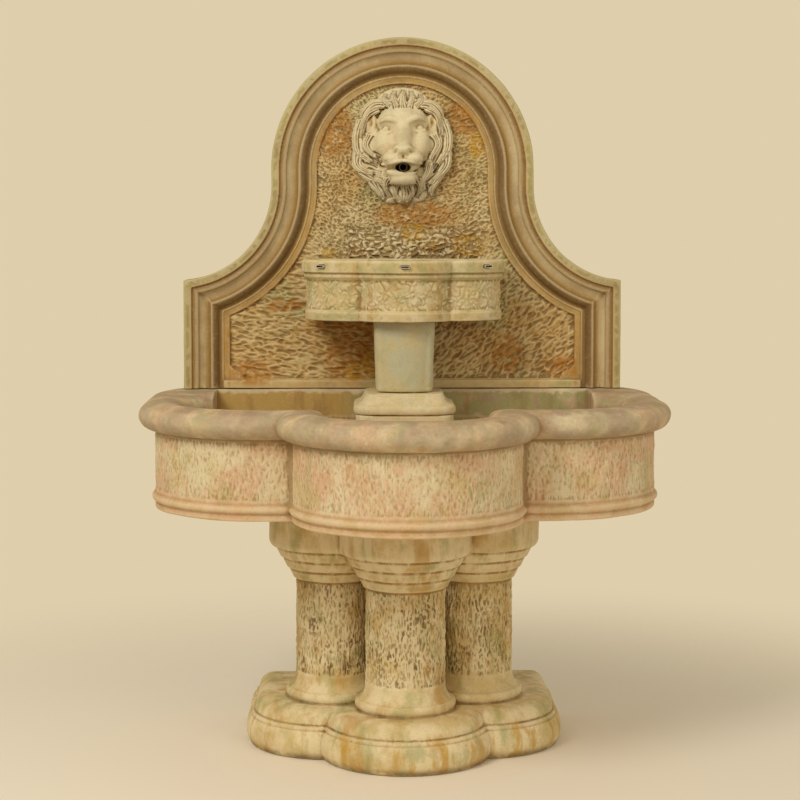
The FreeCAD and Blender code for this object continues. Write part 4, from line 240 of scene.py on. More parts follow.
def press(piece, depth, group="", texture=None, grain=None, middle=0.5, turn=0.0):
    """Displace a piece along its normals. A texture's grain has a size along each axis, in mm."""
    displace = piece.modifiers.new("Press", "DISPLACE")
    displace.strength = depth
    displace.mid_level = middle if texture else 0.0
    displace.vertex_group = group
    if not texture:
        apply_all(piece)
        return
    bpy.ops.object.empty_add(type="PLAIN_AXES", location=(0, 0, 0), rotation=(0, turn, 0))
    ruler = bpy.context.object
    ruler.scale = [size * MM for size in grain]
    bpy.context.view_layer.update()
    displace.texture = texture
    displace.texture_coords = "OBJECT"
    displace.texture_coords_object = ruler
    apply_all(piece)
    bpy.data.objects.remove(ruler)


def scoop_texture(name, basis, warp):
    """Warped cells: scoops with sharp crests, or cracks, by the basis given."""
    texture = bpy.data.textures.new(name, "DISTORTED_NOISE")
    texture.noise_basis = basis
    texture.noise_distortion = "ORIGINAL_PERLIN"
    texture.distortion = warp
    texture.noise_scale = 1.0
    return texture


def cloud_texture(name, depth=2):
    """A soft uneven texture."""
    texture = bpy.data.textures.new(name, "CLOUDS")
    texture.noise_scale = 1.0
    texture.noise_depth = depth
    return texture


def wear(piece, depth, grain, middle=1.0):
    """Rub a piece down unevenly all over, by a depth and a grain in mm."""
    press(piece, depth * MM, "", cloud_texture(piece.name + " wear", 3), (grain,) * 3, middle)


def thin_out(piece, faces=CASTING_FACES):
    """Collapse the flattest parts of a dense mesh until about the given number of triangles is left."""
    piece.data.calc_loop_triangles()
    count = len(piece.data.loop_triangles)
    if count > faces:
        collapse = piece.modifiers.new("Thin Out", "DECIMATE")
        collapse.ratio = faces / count
        apply_all(piece)


def spread(values, edges, count, times):
    """Average each vertex's values with those of its neighbours, several times over."""
    ends = np.concatenate((edges[:, 0], edges[:, 1]))
    others = np.concatenate((edges[:, 1], edges[:, 0]))
    neighbours = np.maximum(np.bincount(ends, minlength=count), 1)
    for _ in range(times):
        values = np.stack([
            np.bincount(ends, weights=values[others, axis], minlength=count) / neighbours
            for axis in range(values.shape[1])
        ], axis=1)
    return values


def keep(piece, name, values):
    """Store one number for each vertex, for the materials to read."""
    attribute = piece.data.attributes.new(name, "FLOAT", "POINT")
    attribute.data.foreach_set("value", values.astype(np.float32))


# Rounds of averaging that reach across a crevice, and those that then reach across a wide hollow.
NARROW_ROUNDS = 5
WIDE_ROUNDS = 40
# A hollow counts as full at this many times the depth of a crevice.
HOLLOW_TIMES = 5


def weather(piece, reach):
    """Store how deep each point lies among its neighbours: 0.5 is level, 1 a hollow, 0 a ridge.
    Dirt gathers in narrow crevices and in wide hollows, and the ridges are rubbed pale and carry a painted
    highlight."""
    places, normals = surface(piece)
    count = len(places)
    edges = np.empty(len(piece.data.edges) * 2, dtype=np.int64)
    piece.data.edges.foreach_get("vertices", edges)
    edges = edges.reshape(-1, 2)
    narrow = spread(places, edges, count, NARROW_ROUNDS)
    wide = spread(narrow, edges, count, WIDE_ROUNDS)
    for name, middle, limit in (("crevice", narrow, reach), ("hollow", wide, reach * HOLLOW_TIMES)):
        depth = ((middle - places) * normals).sum(axis=1)
        keep(piece, name, np.clip(0.5 + depth / limit * 0.5, 0, 1))


def finish_piece(piece, material, slot, *nodes):
    """Give a piece its material, and let it ride on the fountain in place of its CAD nodes."""
    piece.data.materials.clear()
    piece.data.materials.append(material)
    piece.data.shade_smooth()
    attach(piece, BODY)
    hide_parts(*nodes)


def add_node(owner, kind, settings=None, numbered=None, **named):
    """Add a node to a material or a world, with its settings and a link or a value for each input."""
    node = owner.node_tree.nodes.new(kind)
    for name, value in (settings or {}).items():
        setattr(node, name, value)
    inputs = {name.replace("_", " "): value for name, value in named.items()}
    inputs.update(numbered or {})
    for key, value in inputs.items():
        if isinstance(value, bpy.types.NodeSocket):
            owner.node_tree.links.new(value, node.inputs[key])
        else:
            node.inputs[key].default_value = value
    return node


def with_nodes(owner):
    """Start a material or a world without any nodes."""
    owner.use_nodes = True
    owner.node_tree.nodes.clear()
    return owner


def finish_material(material, shader):
    """Link a shader to the material's output."""
    add_node(material, "ShaderNodeOutputMaterial", Surface=shader.outputs[0])
    return material


# Sockets of a Mix node that mixes colours.
MIX_FACTOR, MIX_BELOW, MIX_ABOVE, MIX_RESULT = 0, 6, 7, 2
# Stretch of a pattern whose grain is the same along every axis.
EVEN = (1, 1, 1)


class Finish:
    """A finish built up in layers of colour over one ground, as a painter would."""

    def __init__(self, name, ground):
        self.material = with_nodes(bpy.data.materials.new(name))
        self.place = add_node(self.material, "ShaderNodeTexCoord").outputs["Object"]
        self.color = ground

    def ramp(self, value, start, end):
        """0 at start and 1 at end of a value."""
        return add_node(
            self.material, "ShaderNodeMapRange", {"interpolation_type": "SMOOTHSTEP"},
            Value=value, From_Min=start, From_Max=end,
        ).outputs[0]

    def noise(self, size, detail, stretch=EVEN, shift=0.0):
        """Noise whose grain is a real size in millimetres, stretched along each axis."""
        scale = tuple(1 / (size * MM * part) for part in stretch)
        mapping = add_node(
            self.material, "ShaderNodeMapping", Vector=self.place, Scale=scale,
            Location=(shift, shift * 2, shift * 3),
        )
        return add_node(
            self.material, "ShaderNodeTexNoise", Vector=mapping.outputs[0], Scale=1.0,
            Detail=detail, Roughness=0.6,
        ).outputs[0]

    def patch(self, size, start, end, stretch=EVEN, shift=0.0):
        """Ragged patches of a real size in millimetres, whole where the noise passes end."""
        return self.ramp(self.noise(size, 6.0, stretch, shift), start, end)

    def stored(self, name, start, end):
        """A number kept at each vertex, between two of its values."""
        value = add_node(self.material, "ShaderNodeAttribute", {"attribute_name": name})
        return self.ramp(value.outputs["Fac"], start, end)

    def height(self, start, end):
        """0 at one height above the floor and 1 at another."""
        split = add_node(self.material, "ShaderNodeSeparateXYZ", Vector=self.place)
        return self.ramp(split.outputs["Z"], start, end)

    def band(self, name, start, end, soft):
        """1 where a number kept at each vertex lies between two values, with soft edges."""
        return self.both(self.stored(name, start - soft, start), self.stored(name, end + soft, end))

    def both(self, first, second):
        """Product of two masks, or of a mask and a number."""
        product = add_node(
            self.material, "ShaderNodeMath", {"operation": "MULTIPLY"}, {0: first, 1: second}
        )
        return product.outputs[0]

    def layer(self, color, strength, *masks):
        """Lay a colour over what is there, where every mask shows."""
        mask = masks[0]
        for factor in (*masks[1:], strength):
            mask = self.both(mask, factor)
        mix = add_node(
            self.material, "ShaderNodeMix", {"data_type": "RGBA"},
            {MIX_FACTOR: mask, MIX_BELOW: self.color, MIX_ABOVE: color},
        )
        self.color = mix.outputs[MIX_RESULT]

    def patches(self, *layers):
        """Lay ragged patches over each other: a colour, a strength, and then a patch's values."""
        for color, strength, *values in layers:
            self.layer(color, strength, self.patch(*values))

    def done(self, rough, grain, depth, strength=0.3, metallic=0.0):
        """Close the finish with a bump of a real grain and depth in millimetres."""
        bump = add_node(
            self.material, "ShaderNodeBump", Height=self.noise(grain, 3.0),
            Strength=strength, Distance=depth * MM,
        )
        shader = add_node(
            self.material, "ShaderNodeBsdfPrincipled", Base_Color=self.color, Roughness=rough,
            Metallic=metallic, Normal=bump.outputs[0],
        )
        return finish_material(self.material, shader)


def weathered(finish, tone, crevice, rubbed):
    """The wash that every casting has: brown in its hollows and crevices, and pale on its ridges as rubbed
    wear and painted highlight together.
    """
    finish.layer(tone.bistre, crevice, finish.stored("hollow", 0.53, 0.85))
    # Cream on the ridges: partly rubbed wear, partly painted highlight.
    finish.layer(tone.cream, rubbed, finish.stored("crevice", 0.48, 0.30))
    finish.layer(tone.bistre, crevice, finish.stored("crevice", 0.54, 0.84))
    finish.patches(
        (tone.bistre, 0.3, 4, 0.52, 0.75, EVEN, 7.7), (tone.cream, 0.25, 5, 0.55, 0.75, EVEN, 3.9)
    )


# A spot is whole out to the first part of its half width and height, and gone at the second.
SPOT_CORE, SPOT_EDGE = 0.15, 1.5
# Part of a groove's half width that has its full depth.
GROOVE_FLOOR = 0.3


def near(places, spots):
    """How near each place on the panel is to the spots in a list, 1 at their middles."""
    most = np.zeros(len(places))
    for across, up, half_width, half_height in spots:
        away = np.hypot(
            (places[:, 0] - across * MM) / (half_width * MM), (places[:, 2] - up * MM) / (half_height * MM)
        )
        most = np.maximum(most, 1 - ease(away, SPOT_CORE, SPOT_EDGE))
    return most


def grooves(values, middles, half):
    """1 at each of the middles and 0 beyond a half width from them."""
    most = np.zeros(len(values))
    for middle in middles:
        most = np.maximum(most, 1 - ease(np.abs(values - middle), half * GROOVE_FLOOR, half))
    return most


# Stains on the panel: from the middle, above the floor, half width and half height, in mm.
# The first list's wide third place, under the bowl, is painted shadow laid in rust, not a stain.
RUST_AND_SHADOW_PLACES = (
    (-112, 752, 48, 50), (-62, 770, 30, 60), (-118, 830, 70, 22), (28, 1046, 78, 30), (-145, 1222, 46, 62),
    (128, 1250, 40, 42), (193, 1080, 12, 48), (-238, 862, 44, 14), (-310, 722, 48, 24), (-372, 790, 16, 70),
    (215, 760, 34, 40), (330, 735, 50, 24), (-205, 1040, 14, 50), (0, 1334, 60, 12),
)
GOLDEN_PLACES = (
    (24, 1010, 30, 20), (136, 984, 34, 28), (-66, 742, 16, 30), (-152, 968, 14, 12), (60, 980, 20, 12),
    (-96, 726, 26, 18), (152, 1190, 16, 30),
)
# The panel's outline, in mm: half width, arch, hollow shoulder, and the heights of their centres.
HALF_WIDTH = 447.5
ARCH = 268
ARCH_UP = 448
SHOULDER = 192
SHOULDER_UP = 414.5
# The panel's flat back has the colour that its frame has this far in from the outline, in mm.
BACK_INWARD = 10
# The field is the surface this near its plane that faces forward.
FIELD_TOLERANCE = 1.5 * MM
FORWARD = -0.8
# Crossed cuts above the bowl: from and to which height and place across, and soft edge, in m.
CUT_HEIGHTS = (BOWL_TOP - 0.02, BOWL_TOP + 0.045, 0.03)
CUT_ACROSS = (-0.10, 0.14, 0.04)
# The hammering changes between these heights and between these places across, in m.
UPPER_FIELD = (PANEL_FOOT + 0.24, PANEL_FOOT + 0.34)
RIGHT_FIELD = (-0.05, 0.03)
# Where the field begins, in from the outline, in mm.
FIELD_EDGE = (84, 92)


def inward(places):
    """Distance from the panel's outline in towards its middle, in mm."""
    across = np.abs(places[:, 0]) / MM
    up = (places[:, 2] - PANEL_FOOT) / MM
    arch = ARCH - np.hypot(across, up - ARCH_UP)
    shoulder = np.hypot(across - ARCH - SHOULDER, up - SHOULDER_UP) - SHOULDER
    upper = np.where(up > ARCH_UP, arch, ARCH - across)
    return np.minimum(np.where(up > SHOULDER_UP, upper, shoulder), HALF_WIDTH - across)


class FOUNTAIN_OT_back_panel(bpy.types.Operator):
    """Arched panel with a smooth moulded frame round a hammered field"""

    bl_idname = "fountain.back_panel"
    bl_label = "Back Panel"

    def execute(self, context):
        panel = casting_copy("back_panel", "arched_back_panel")
        even_mesh(panel, sizes().panel_mesh)
        places, normals = surface(panel)
        across = places[:, 0]
        height = places[:, 2]
        level = np.abs(places[:, 1] - FIELD) < FIELD_TOLERANCE
        field = np.where(level & (normals[:, 1] < FORWARD), 1.0, 0.0)
        cut = between(height, *CUT_HEIGHTS) * between(across, *CUT_ACROSS)
        upper = ease(height, *UPPER_FIELD)
        left = 1 - ease(across, *RIGHT_FIELD)
        scoops = scoop_texture("hammered scoops", "VORONOI_F1", 0.9)
        chips = scoop_texture("hammered chips", "VORONOI_F1", 1.7)
        for name, weights, texture, grain, turn in (
            ("lower left", (1 - upper) * left, scoops, (24, 30, 9), 6),
            ("lower right", (1 - upper) * (1 - left), scoops, (20, 30, 9), -40),
            ("upper left", upper * left * (1 - cut), chips, (13, 30, 8), 32),
            ("upper right", upper * (1 - left) * (1 - cut), chips, (15, 30, 8), -22),
        ):
            mark(panel, name, field * weights)
            press(panel, sizes().panel_scoop, name, texture, grain, 0.45, math.radians(turn))
        mark(panel, "crossed cuts", field * cut)
        cuts = scoop_texture("crossed cuts", "VORONOI_F2_F1", 0.6)
        press(panel, sizes().panel_crack, "crossed cuts", cuts, (17, 30, 12))
        mark(panel, "field", field)
        press(panel, 4 * MM, "field", cloud_texture("field swell"), (34, 34, 34))
        wear(panel, 1.4, 45)
        weather(panel, 1.1 * MM)
        places = surface(panel)[0]
        # The rusty attribute holds the rust stains and the painted shadow under the bowl.
        keep(panel, "rusty", near(places, RUST_AND_SHADOW_PLACES))
        keep(panel, "golden", near(places, GOLDEN_PLACES))
        keep(panel, "cut", cut)
        keep(panel, "inward", np.where(places[:, 1] > PLAIN_BACK, BACK_INWARD, inward(places)))
        thin_out(panel)
        finish_piece(panel, self.hammered_stone(), "panel_stone", "back_panel")
        return {"FINISHED"}

    def hammered_stone(self):
        """Waxed cast stone: ochre and green mottling with a soft sheen, dark in every scoop."""
        tone = colors()
        stone = Finish("Hammered Cast Stone", tone.sand)
        stone.patches(
            (tone.ochre, 0.85, 130, 0.36, 0.60),
            (tone.moss, 0.55, 90, 0.50, 0.68, EVEN, 2.3),
            (tone.bistre, 0.45, 60, 0.54, 0.74, (1, 1, 1.8), 4.1),
        )
        self.paint_frame(stone, tone)
        cut = stone.stored("cut", 0.2, 0.8)
        stone.layer(tone.cream, 0.55, cut, stone.patch(24, 0.38, 0.58, EVEN, 8.8))
        weathered(stone, tone, 0.52, 0.32)
        field = stone.stored("inward", *FIELD_EDGE)
        ragged = stone.both(field, stone.patch(13, 0.36, 0.54))
        # Rust, and umber specks below, over the rusty places: stains, and painted shadow in the zone under
        # the bowl.
        stone.layer(tone.rust, 0.85, stone.stored("rusty", 0.05, 0.65), ragged)
        stone.layer(tone.gold, 0.85, stone.stored("golden", 0.1, 0.65), ragged)
        specks = stone.both(field, stone.patch(22, 0.50, 0.68, EVEN, 6.6))
        stone.layer(tone.umber, 0.3, stone.stored("rusty", 0.3, 0.9), specks)
        stone.layer(tone.umber, 0.26, stone.stored("crevice", 0.56, 0.9))
        stone.layer(tone.bistre, 0.6, cut, stone.stored("crevice", 0.54, 0.75))
        return stone.done(0.62, 3, 1.0)

    def paint_frame(self, stone, tone):
        """Antique the mouldings: brown in each hollow, a painted highlight in cream along the crown, a thin
        orange line.
        A band has a colour, a strength, and its start, end and soft edge in from the outline, in mm."""
        # The cream band from 35 to 42 mm in is a painted highlight along the crown of the round.
        for color, strength, *band in (
            (tone.ochre, 0.55, -5, 92, 3), (tone.moss, 0.6, -2, 12, 4), (tone.bistre, 0.75, 18, 31, 3),
            (tone.rust, 0.6, 16, 18, 1.5), (tone.cream, 0.7, 35, 42, 6), (tone.bistre, 0.8, 52, 74, 5),
            (tone.umber, 0.6, 63, 71, 4), (tone.umber, 0.6, 81, 81.6, 1.4), (tone.rust, 0.55, 92, 94, 2),
        ):
            stone.layer(color, strength, stone.band("inward", *band))
        streaks = stone.patch(70, 0.35, 0.62, (1, 1, 1.6), 6.4)
        stone.layer(tone.bistre, 0.45, stone.band("inward", -5, 90, 3), streaks)


def carved_point(across, up, out):
    """A place on the mask, in mm from its middle and out from the field, in metres."""
    return (MASK_MIDDLE.x + across * MM, FIELD - out * MM, MASK_MIDDLE.z + up * MM)


def lump(across, up, out, half_width, half_height, half_depth):
    """Add a rounded lump of clay to the mask that is being modelled, in mm."""
    bpy.ops.mesh.primitive_ico_sphere_add(
        subdivisions=3, radius=1.0, location=carved_point(across, up, out),
        scale=(half_width * MM, half_depth * MM, half_height * MM),
    )


# Balls of clay from one point of a strand to the next, in the mane and in the face.
MANE_STEPS = 7
FACE_STEPS = 9
# Strands of a lock: distance from its middle and radius in parts of its width, and rise in mm.
STRAND_SIDE = 0.36
STRAND_RADIUS = 0.26
STRAND_RISE = 2.5
# How much narrower a lock is at its tip.
TIP_PINCH = 0.45
# Comb marks: distance from a lock's middle in parts of its width, half width in mm, and straight runs.
COMB_SIDES = (-0.54, -0.18, 0.18, 0.54)
COMB_HALF_WIDTH = 1.9
COMB_STEPS = 3


def clay(build, *values):
    """Model one lump, strand or lock as a mesh of its own, because a small mesh is quick to add to."""
    clear_selection()
    bpy.ops.mesh.primitive_ico_sphere_add(subdivisions=1, radius=MM, location=(0, 0, 0))
    bpy.ops.object.mode_set(mode="EDIT")
    bpy.ops.mesh.delete(type="VERT")
    build(*values)
    bpy.ops.object.mode_set(mode="OBJECT")
    return bpy.context.object


def on_curve(before, start, end, after, part):
    """Value at a part of the way from start to end, on a smooth curve through all four."""
    return 0.5 * (
        2 * start + (end - before) * part + (2 * before - 5 * start + 4 * end - after) * part ** 2
        + (3 * start - before - 3 * end + after) * part ** 3
    )


def smooth_path(points, steps):
    """Points along a smooth curve that passes through the given ones."""
    held = [points[0], *points, points[-1]]
    path = []
    for corners in zip(held, held[1:], held[2:], held[3:]):
        for step in range(steps):
            path.append(tuple(on_curve(*values, step / steps) for values in zip(*corners)))
    path.append(tuple(points[-1]))
    return path


def strand(points, radius, steps=MANE_STEPS):
    """Add a rolled strand of clay through points of across, up and out. It thins towards its end."""
    path = smooth_path(points, steps)
    for index, place in enumerate(path):
        part = index / (len(path) - 1)
        size = radius * (0.75 + 0.5 * math.sin(math.pi * min(part * 1.2, 1.0)) - 0.48 * part)
        bpy.ops.mesh.primitive_ico_sphere_add(
            subdivisions=2, radius=size * MM, location=carved_point(*place),
        )


def beside(points, shift, rise):
    """A lock's points moved to its side by a shift that narrows towards its tip, and out by a rise."""
    shifted = []
    for index, (across, up, out) in enumerate(points):
        before = points[max(index - 1, 0)]
        after = points[min(index + 1, len(points) - 1)]
        run = Vector((after[0] - before[0], after[1] - before[1])).normalized()
        pinch = 1 - TIP_PINCH * index / (len(points) - 1)
        shifted.append((across - run.y * shift * pinch, up + run.x * shift * pinch, out + rise))
    return shifted


def lock(points, width):
    """Add a lock of the mane: three strands side by side, the middle one proud."""
    for side, rise in ((-STRAND_SIDE, 0), (0, STRAND_RISE), (STRAND_SIDE, 0)):
        strand(beside(points, side * width, rise), width * STRAND_RADIUS)


def combed(places, locks):
    """1 in the comb marks that run along the locks and between them, 0 away from them."""
    across = (places[:, 0] - MASK_MIDDLE.x) / MM
    up = (places[:, 2] - MASK_MIDDLE.z) / MM
    nearest = np.full(len(places), 1000.0)
    for points, width in locks:
        for side in COMB_SIDES:
            path = smooth_path(beside(points, side * width, 0), COMB_STEPS)
            for start, end in zip(path, path[1:]):
                run = (end[0] - start[0], end[1] - start[1])
                along = (across - start[0]) * run[0] + (up - start[1]) * run[1]
                part = np.clip(along / (run[0] ** 2 + run[1] ** 2), 0, 1)
                away = np.hypot(across - start[0] - part * run[0], up - start[1] - part * run[1])
                nearest = np.minimum(nearest, away)
    return np.exp(-(nearest / COMB_HALF_WIDTH) ** 2)


# Lumps of the face: across, up, out, half width, half height and half depth, in mm.
FACE_LUMPS = (
    (0, 8, 0, 93, 88, 15), (-58, -36, 0, 37, 42, 15), (59, -34, 0, 36, 42, 15),
    (-22, -80, 0, 36, 38, 15), (24, -78, 0, 36, 38, 15), (0, 84, 0, 56, 36, 16),
    (0, 46, 12, 52, 42, 40), (0, 2, 10, 50, 62, 40), (0, -26, 26, 42, 30, 38),
    (-20, -27, 42, 21, 15, 27), (20, -27, 42, 21, 15, 27), (0, 20, 40, 20, 42, 21),
    (0, -9, 56, 21, 12, 19), (0, -67, 30, 31, 19, 33), (-36, 4, 20, 21, 32, 27), (36, 6, 20, 21, 32, 27),
    (-56, -6, 6, 32, 54, 20), (57, -6, 6, 32, 54, 20), (-44, -60, 6, 24, 30, 20), (44, -60, 6, 24, 30, 20),
    (-65, 48, 14, 12, 23, 15), (62, 48, 14, 12, 23, 15), (0, -92, 14, 24, 26, 16),
)
# Strands of the face: points of across, up and out, and a radius, in mm.
FACE_STRANDS = (
    (((-6, 46, 48), (-28, 54, 45), (-50, 46, 32)), 7.5),
    (((6, 46, 48), (28, 56, 45), (50, 48, 32)), 7.5),
    (((-46, 30, 34), (-35, 26, 42), (-22, 29, 43)), 3.6),
    (((46, 33, 34), (35, 29, 42), (22, 32, 43)), 3.6),
    (((-29, -54, 44), (-15, -57, 53), (0, -58, 56), (15, -57, 53), (29, -54, 44)), 7.5),
    (((-42, -38, 46), (-24, -37, 62), (0, -31, 69), (24, -37, 62), (42, -38, 46)), 4.5),
)
# Hair over the forehead, from the middle outward: points of a lock and its width, in mm.
FORELOCK = (
    (((0, 78, 34), (-1, 98, 27), (3, 114, 16)), 15),
    (((-13, 78, 34), (-19, 98, 26), (-16, 113, 14)), 13),
    (((14, 78, 34), (20, 98, 26), (18, 112, 14)), 13),
    (((-26, 80, 30), (-37, 94, 23), (-35, 106, 13)), 13),
    (((27, 80, 30), (38, 94, 23), (38, 105, 13)), 13),
)
# Locks of each half of the mane, from the ear down to the beard, and then the beard's own.
LEFT_MANE = (
    (((-40, 84, 26), (-60, 84, 20), (-78, 68, 15), (-88, 44, 10)), 18),
    (((-52, 74, 26), (-68, 64, 24), (-80, 42, 20), (-82, 16, 16)), 17),
    (((-84, 50, 14), (-92, 20, 14), (-90, -10, 17), (-72, -28, 24), (-50, -38, 32)), 20),
    (((-68, 22, 24), (-76, 2, 22), (-66, -14, 28), (-48, -26, 36)), 17),
    (((-92, -14, 12), (-92, -38, 16), (-74, -52, 22), (-44, -58, 32)), 20),
    (((-86, -52, 12), (-66, -64, 16), (-48, -72, 22), (-36, -88, 22)), 17),
    (((-64, -72, 11), (-54, -84, 13), (-44, -98, 14), (-36, -112, 10)), 16),
)
RIGHT_MANE = (
    (((40, 84, 26), (60, 82, 20), (76, 68, 15), (86, 44, 10)), 18),
    (((50, 76, 26), (66, 66, 24), (76, 44, 20), (79, 18, 16)), 17),
    (((82, 50, 14), (91, 22, 14), (90, -6, 17), (76, -30, 22), (62, -52, 26)), 20),
    (((64, 22, 24), (72, 4, 22), (62, -16, 28), (52, -36, 34)), 17),
    (((90, -12, 12), (88, -38, 16), (72, -60, 20), (52, -80, 24)), 20),
    (((54, -34, 30), (50, -54, 30), (42, -72, 28), (46, -92, 20)), 16),
    (((78, -58, 12), (66, -72, 16), (58, -90, 16), (62, -104, 10)), 16),
)
BEARD = (
    (((1, -84, 28), (3, -98, 24), (1, -116, 12)), 15),
    (((-13, -82, 28), (-15, -98, 22), (-9, -113, 12)), 13),
    (((15, -82, 28), (18, -98, 22), (13, -113, 12)), 13),
    (((-34, -66, 26), (-36, -84, 20), (-26, -106, 12)), 15),
    (((36, -68, 26), (36, -86, 20), (28, -106, 12)), 15),
)
LOCKS = FORELOCK + LEFT_MANE + RIGHT_MANE + BEARD
# Hollows pressed into the face: across, up, half width, half height and depth, in mm.
FACE_HOLLOWS = (
    (-35, 34, 13, 8, 9), (35, 37, 13, 8, 9), (-64, 47, 6, 15, 13), (60, 47, 6, 15, 13),
    (-15, -12, 5, 3.5, 9), (15, -12, 5, 3.5, 9), (0, -26, 2.5, 10, 5),
    (-40, -38, 7, 5, 15), (40, -38, 7, 5, 15), (0, -43, 36, 4, 10),
    (-8, -93, 2.2, 12, 5), (3, -95, 2.2, 12, 5), (13, -92, 2.2, 11, 5),
)
# Places of the eyes, and the half width, half height and half depth of an eyeball, in mm.
EYES = ((-35, 33.5, 34.5), (35, 36.5, 34.5))
EYEBALL = (6.5, 3.6, 5)
# The mouth is cut by a flattened ball, and the pipe's way by a cylinder, in mm: half sizes of the ball,
# radius and length of the cylinder, and how far the middle of each stands out from the field.
MOUTH_HALF_SIZES = (17, 72, 9.5)
MOUTH_OUT = 74
PIPE_WAY_RADIUS = 9
PIPE_WAY_LENGTH = 120
PIPE_WAY_OUT = 30
# The mask ends this far behind the face of the field, so that no gap shows.
MASK_SUNK = 1 * MM
# Iron stains in the ears and at the corners of the mouth, placed as the panel's stains are.
STAINED_PLACES = ((-61, 1233, 10, 20), (59, 1233, 10, 20), (-38, 1148, 12, 8), (40, 1148, 12, 8))


class FOUNTAIN_OT_lion_mask(bpy.types.Operator):
    """Lion's face with a swept mane and an open mouth, modelled as a sculptor adds clay"""

    bl_idname = "fountain.lion_mask"
    bl_label = "Lion Mask"

    def execute(self, context):
        parts = [clay(lump, *values) for values in FACE_LUMPS]
        parts += [clay(strand, points, radius, FACE_STEPS) for points, radius in FACE_STRANDS]
        parts += [clay(lock, points, width) for points, width in LOCKS]
        mask = parts[0]
        mask.name = "carved_lion_mask"
        mask.data.name = "carved_lion_mask"
        select_only(mask)
        for part in parts:
            part.select_set(True)
        bpy.ops.object.join()
        even_mesh(mask, sizes().mask_mesh, 3)
        self.press_hollows(mask)
        bpy.ops.object.mode_set(mode="EDIT")
        for place in EYES:
            lump(*place, *EYEBALL)
        bpy.ops.object.mode_set(mode="OBJECT")
        even_mesh(mask, sizes().mask_mesh, 1)
        self.open_mouth(mask)
        even_mesh(mask, sizes().mask_mesh, 2)
        self.trim_back(mask)
        places, normals = surface(mask)
        combs = combed(places, LOCKS) * (normals[:, 1] < 0.1)
        mark(mask, "comb marks", combs)
        press(mask, -sizes().mask_comb, "comb marks")
        keep(mask, "combed", combs)
        wear(mask, 0.8, 14, 0.5)
        weather(mask, 1.3 * MM)
        keep(mask, "stained", near(surface(mask)[0], STAINED_PLACES))
        thin_out(mask, MASK_FACES)
        finish_piece(mask, self.carved_stone(), "mask_stone", "lion_mask")
        return {"FINISHED"}

    def press_hollows(self, mask):
        """Press the hollows into the clay, straight back towards the wall."""
        places, normals = surface(mask)
        for index, (across, up, half_width, half_height, depth) in enumerate(FACE_HOLLOWS):
            middle = carved_point(across, up, 0)
            sideways = (places[:, 0] - middle[0]) / (half_width * MM)
            away = np.hypot(sideways, (places[:, 2] - middle[2]) / (half_height * MM))
            name = "hollow %d" % index
            mark(mask, name, np.exp(-away ** 2) * (normals[:, 1] < 0.3))
            displace = mask.modifiers.new("Press In", "DISPLACE")
            displace.direction = "Y"
            displace.mid_level = 0.0
            displace.strength = depth * MM
            displace.vertex_group = name
        apply_all(mask)

    def open_mouth(self, mask):
        """Cut the mouth back to the field, wide enough for the pipe and the stream."""
        clear_selection()
        bpy.ops.mesh.primitive_uv_sphere_add(segments=32, ring_count=16, radius=1.0, location=(0, 0, 0))
        cutter = bpy.context.object
        bpy.ops.object.mode_set(mode="EDIT")
        bpy.ops.transform.resize(value=[half * MM for half in MOUTH_HALF_SIZES])
        bpy.ops.transform.translate(value=(MOUTH.x, FIELD - MOUTH_OUT * MM, MOUTH.z))
        bpy.ops.mesh.primitive_cylinder_add(
            vertices=32, radius=PIPE_WAY_RADIUS * MM, depth=PIPE_WAY_LENGTH * MM,
            rotation=(math.pi / 2, 0, 0), location=(MOUTH.x, FIELD - PIPE_WAY_OUT * MM, MOUTH.z),
        )
        bpy.ops.object.mode_set(mode="OBJECT")
        even_mesh(cutter, sizes().mask_mesh)
        opening = mask.modifiers.new("Mouth", "BOOLEAN")
        opening.operation = "DIFFERENCE"
        opening.solver = "EXACT"
        opening.object = cutter
        apply_all(mask)
        bpy.data.objects.remove(cutter)

    def trim_back(self, mask):
        """Cut the clay off flat just inside the panel's field."""
        select_only(mask)
        bpy.ops.object.mode_set(mode="EDIT")
        bpy.ops.mesh.select_all(action="SELECT")
        bpy.ops.mesh.bisect(
            plane_co=(0, FIELD + MASK_SUNK, 0), plane_no=(0, 1, 0), use_fill=True, clear_outer=True
        )
        bpy.ops.object.mode_set(mode="OBJECT")

    def carved_stone(self):
        """Dry cast stone, paler than the panel: matt, chalky and with a painted highlight on the ridges,
        brown between the locks.
        """
        tone = colors()
        stone = Finish("Pale Carved Stone", tone.pale)
        stone.patches(
            (tone.cream, 0.5, 40, 0.4, 0.6),
            (tone.ochre, 0.4, 35, 0.52, 0.72, EVEN, 3.3),
            (tone.lichen, 0.5, 30, 0.46, 0.68, EVEN, 5.5),
        )
        stone.layer(tone.gold, 0.9, stone.stored("stained", 0.3, 0.9), stone.stored("hollow", 0.5, 0.7))
        weathered(stone, tone, 0.75, 0.25)
        stone.layer(tone.bistre, 0.3, stone.stored("combed", 0.35, 1.0))
        stone.layer(tone.umber, 0.5, stone.stored("crevice", 0.62, 0.95))
        return stone.done(0.8, 2.5, 0.6)


# The crackled band: its foot, top and soft edge. The hollow's walls, painted dark as shade: the same.
BOWL_BAND = (BOWL_FOOT + 24 * MM, BOWL_TOP - 42 * MM, 3 * MM)
BOWL_HOLLOW = (BOWL_FOOT + 0.02, BOWL_TOP - 0.012, 3 * MM)
# Lobes of the bowl in plan, in mm: from its middle, from the wall, and radius.
BOWL_LOBES = ((98, 132, 98), (0, 178, 102))
# The painted shade in the hollow starts and is full this far in from the lobes' outline.
SHADE_INWARD = (11 * MM, 15 * MM)
# Iron gathers in the creases between the lobes: distance from the middle and half width, in mm.
CREASE_PLACE = 68
CREASE_HALF_WIDTH = 9


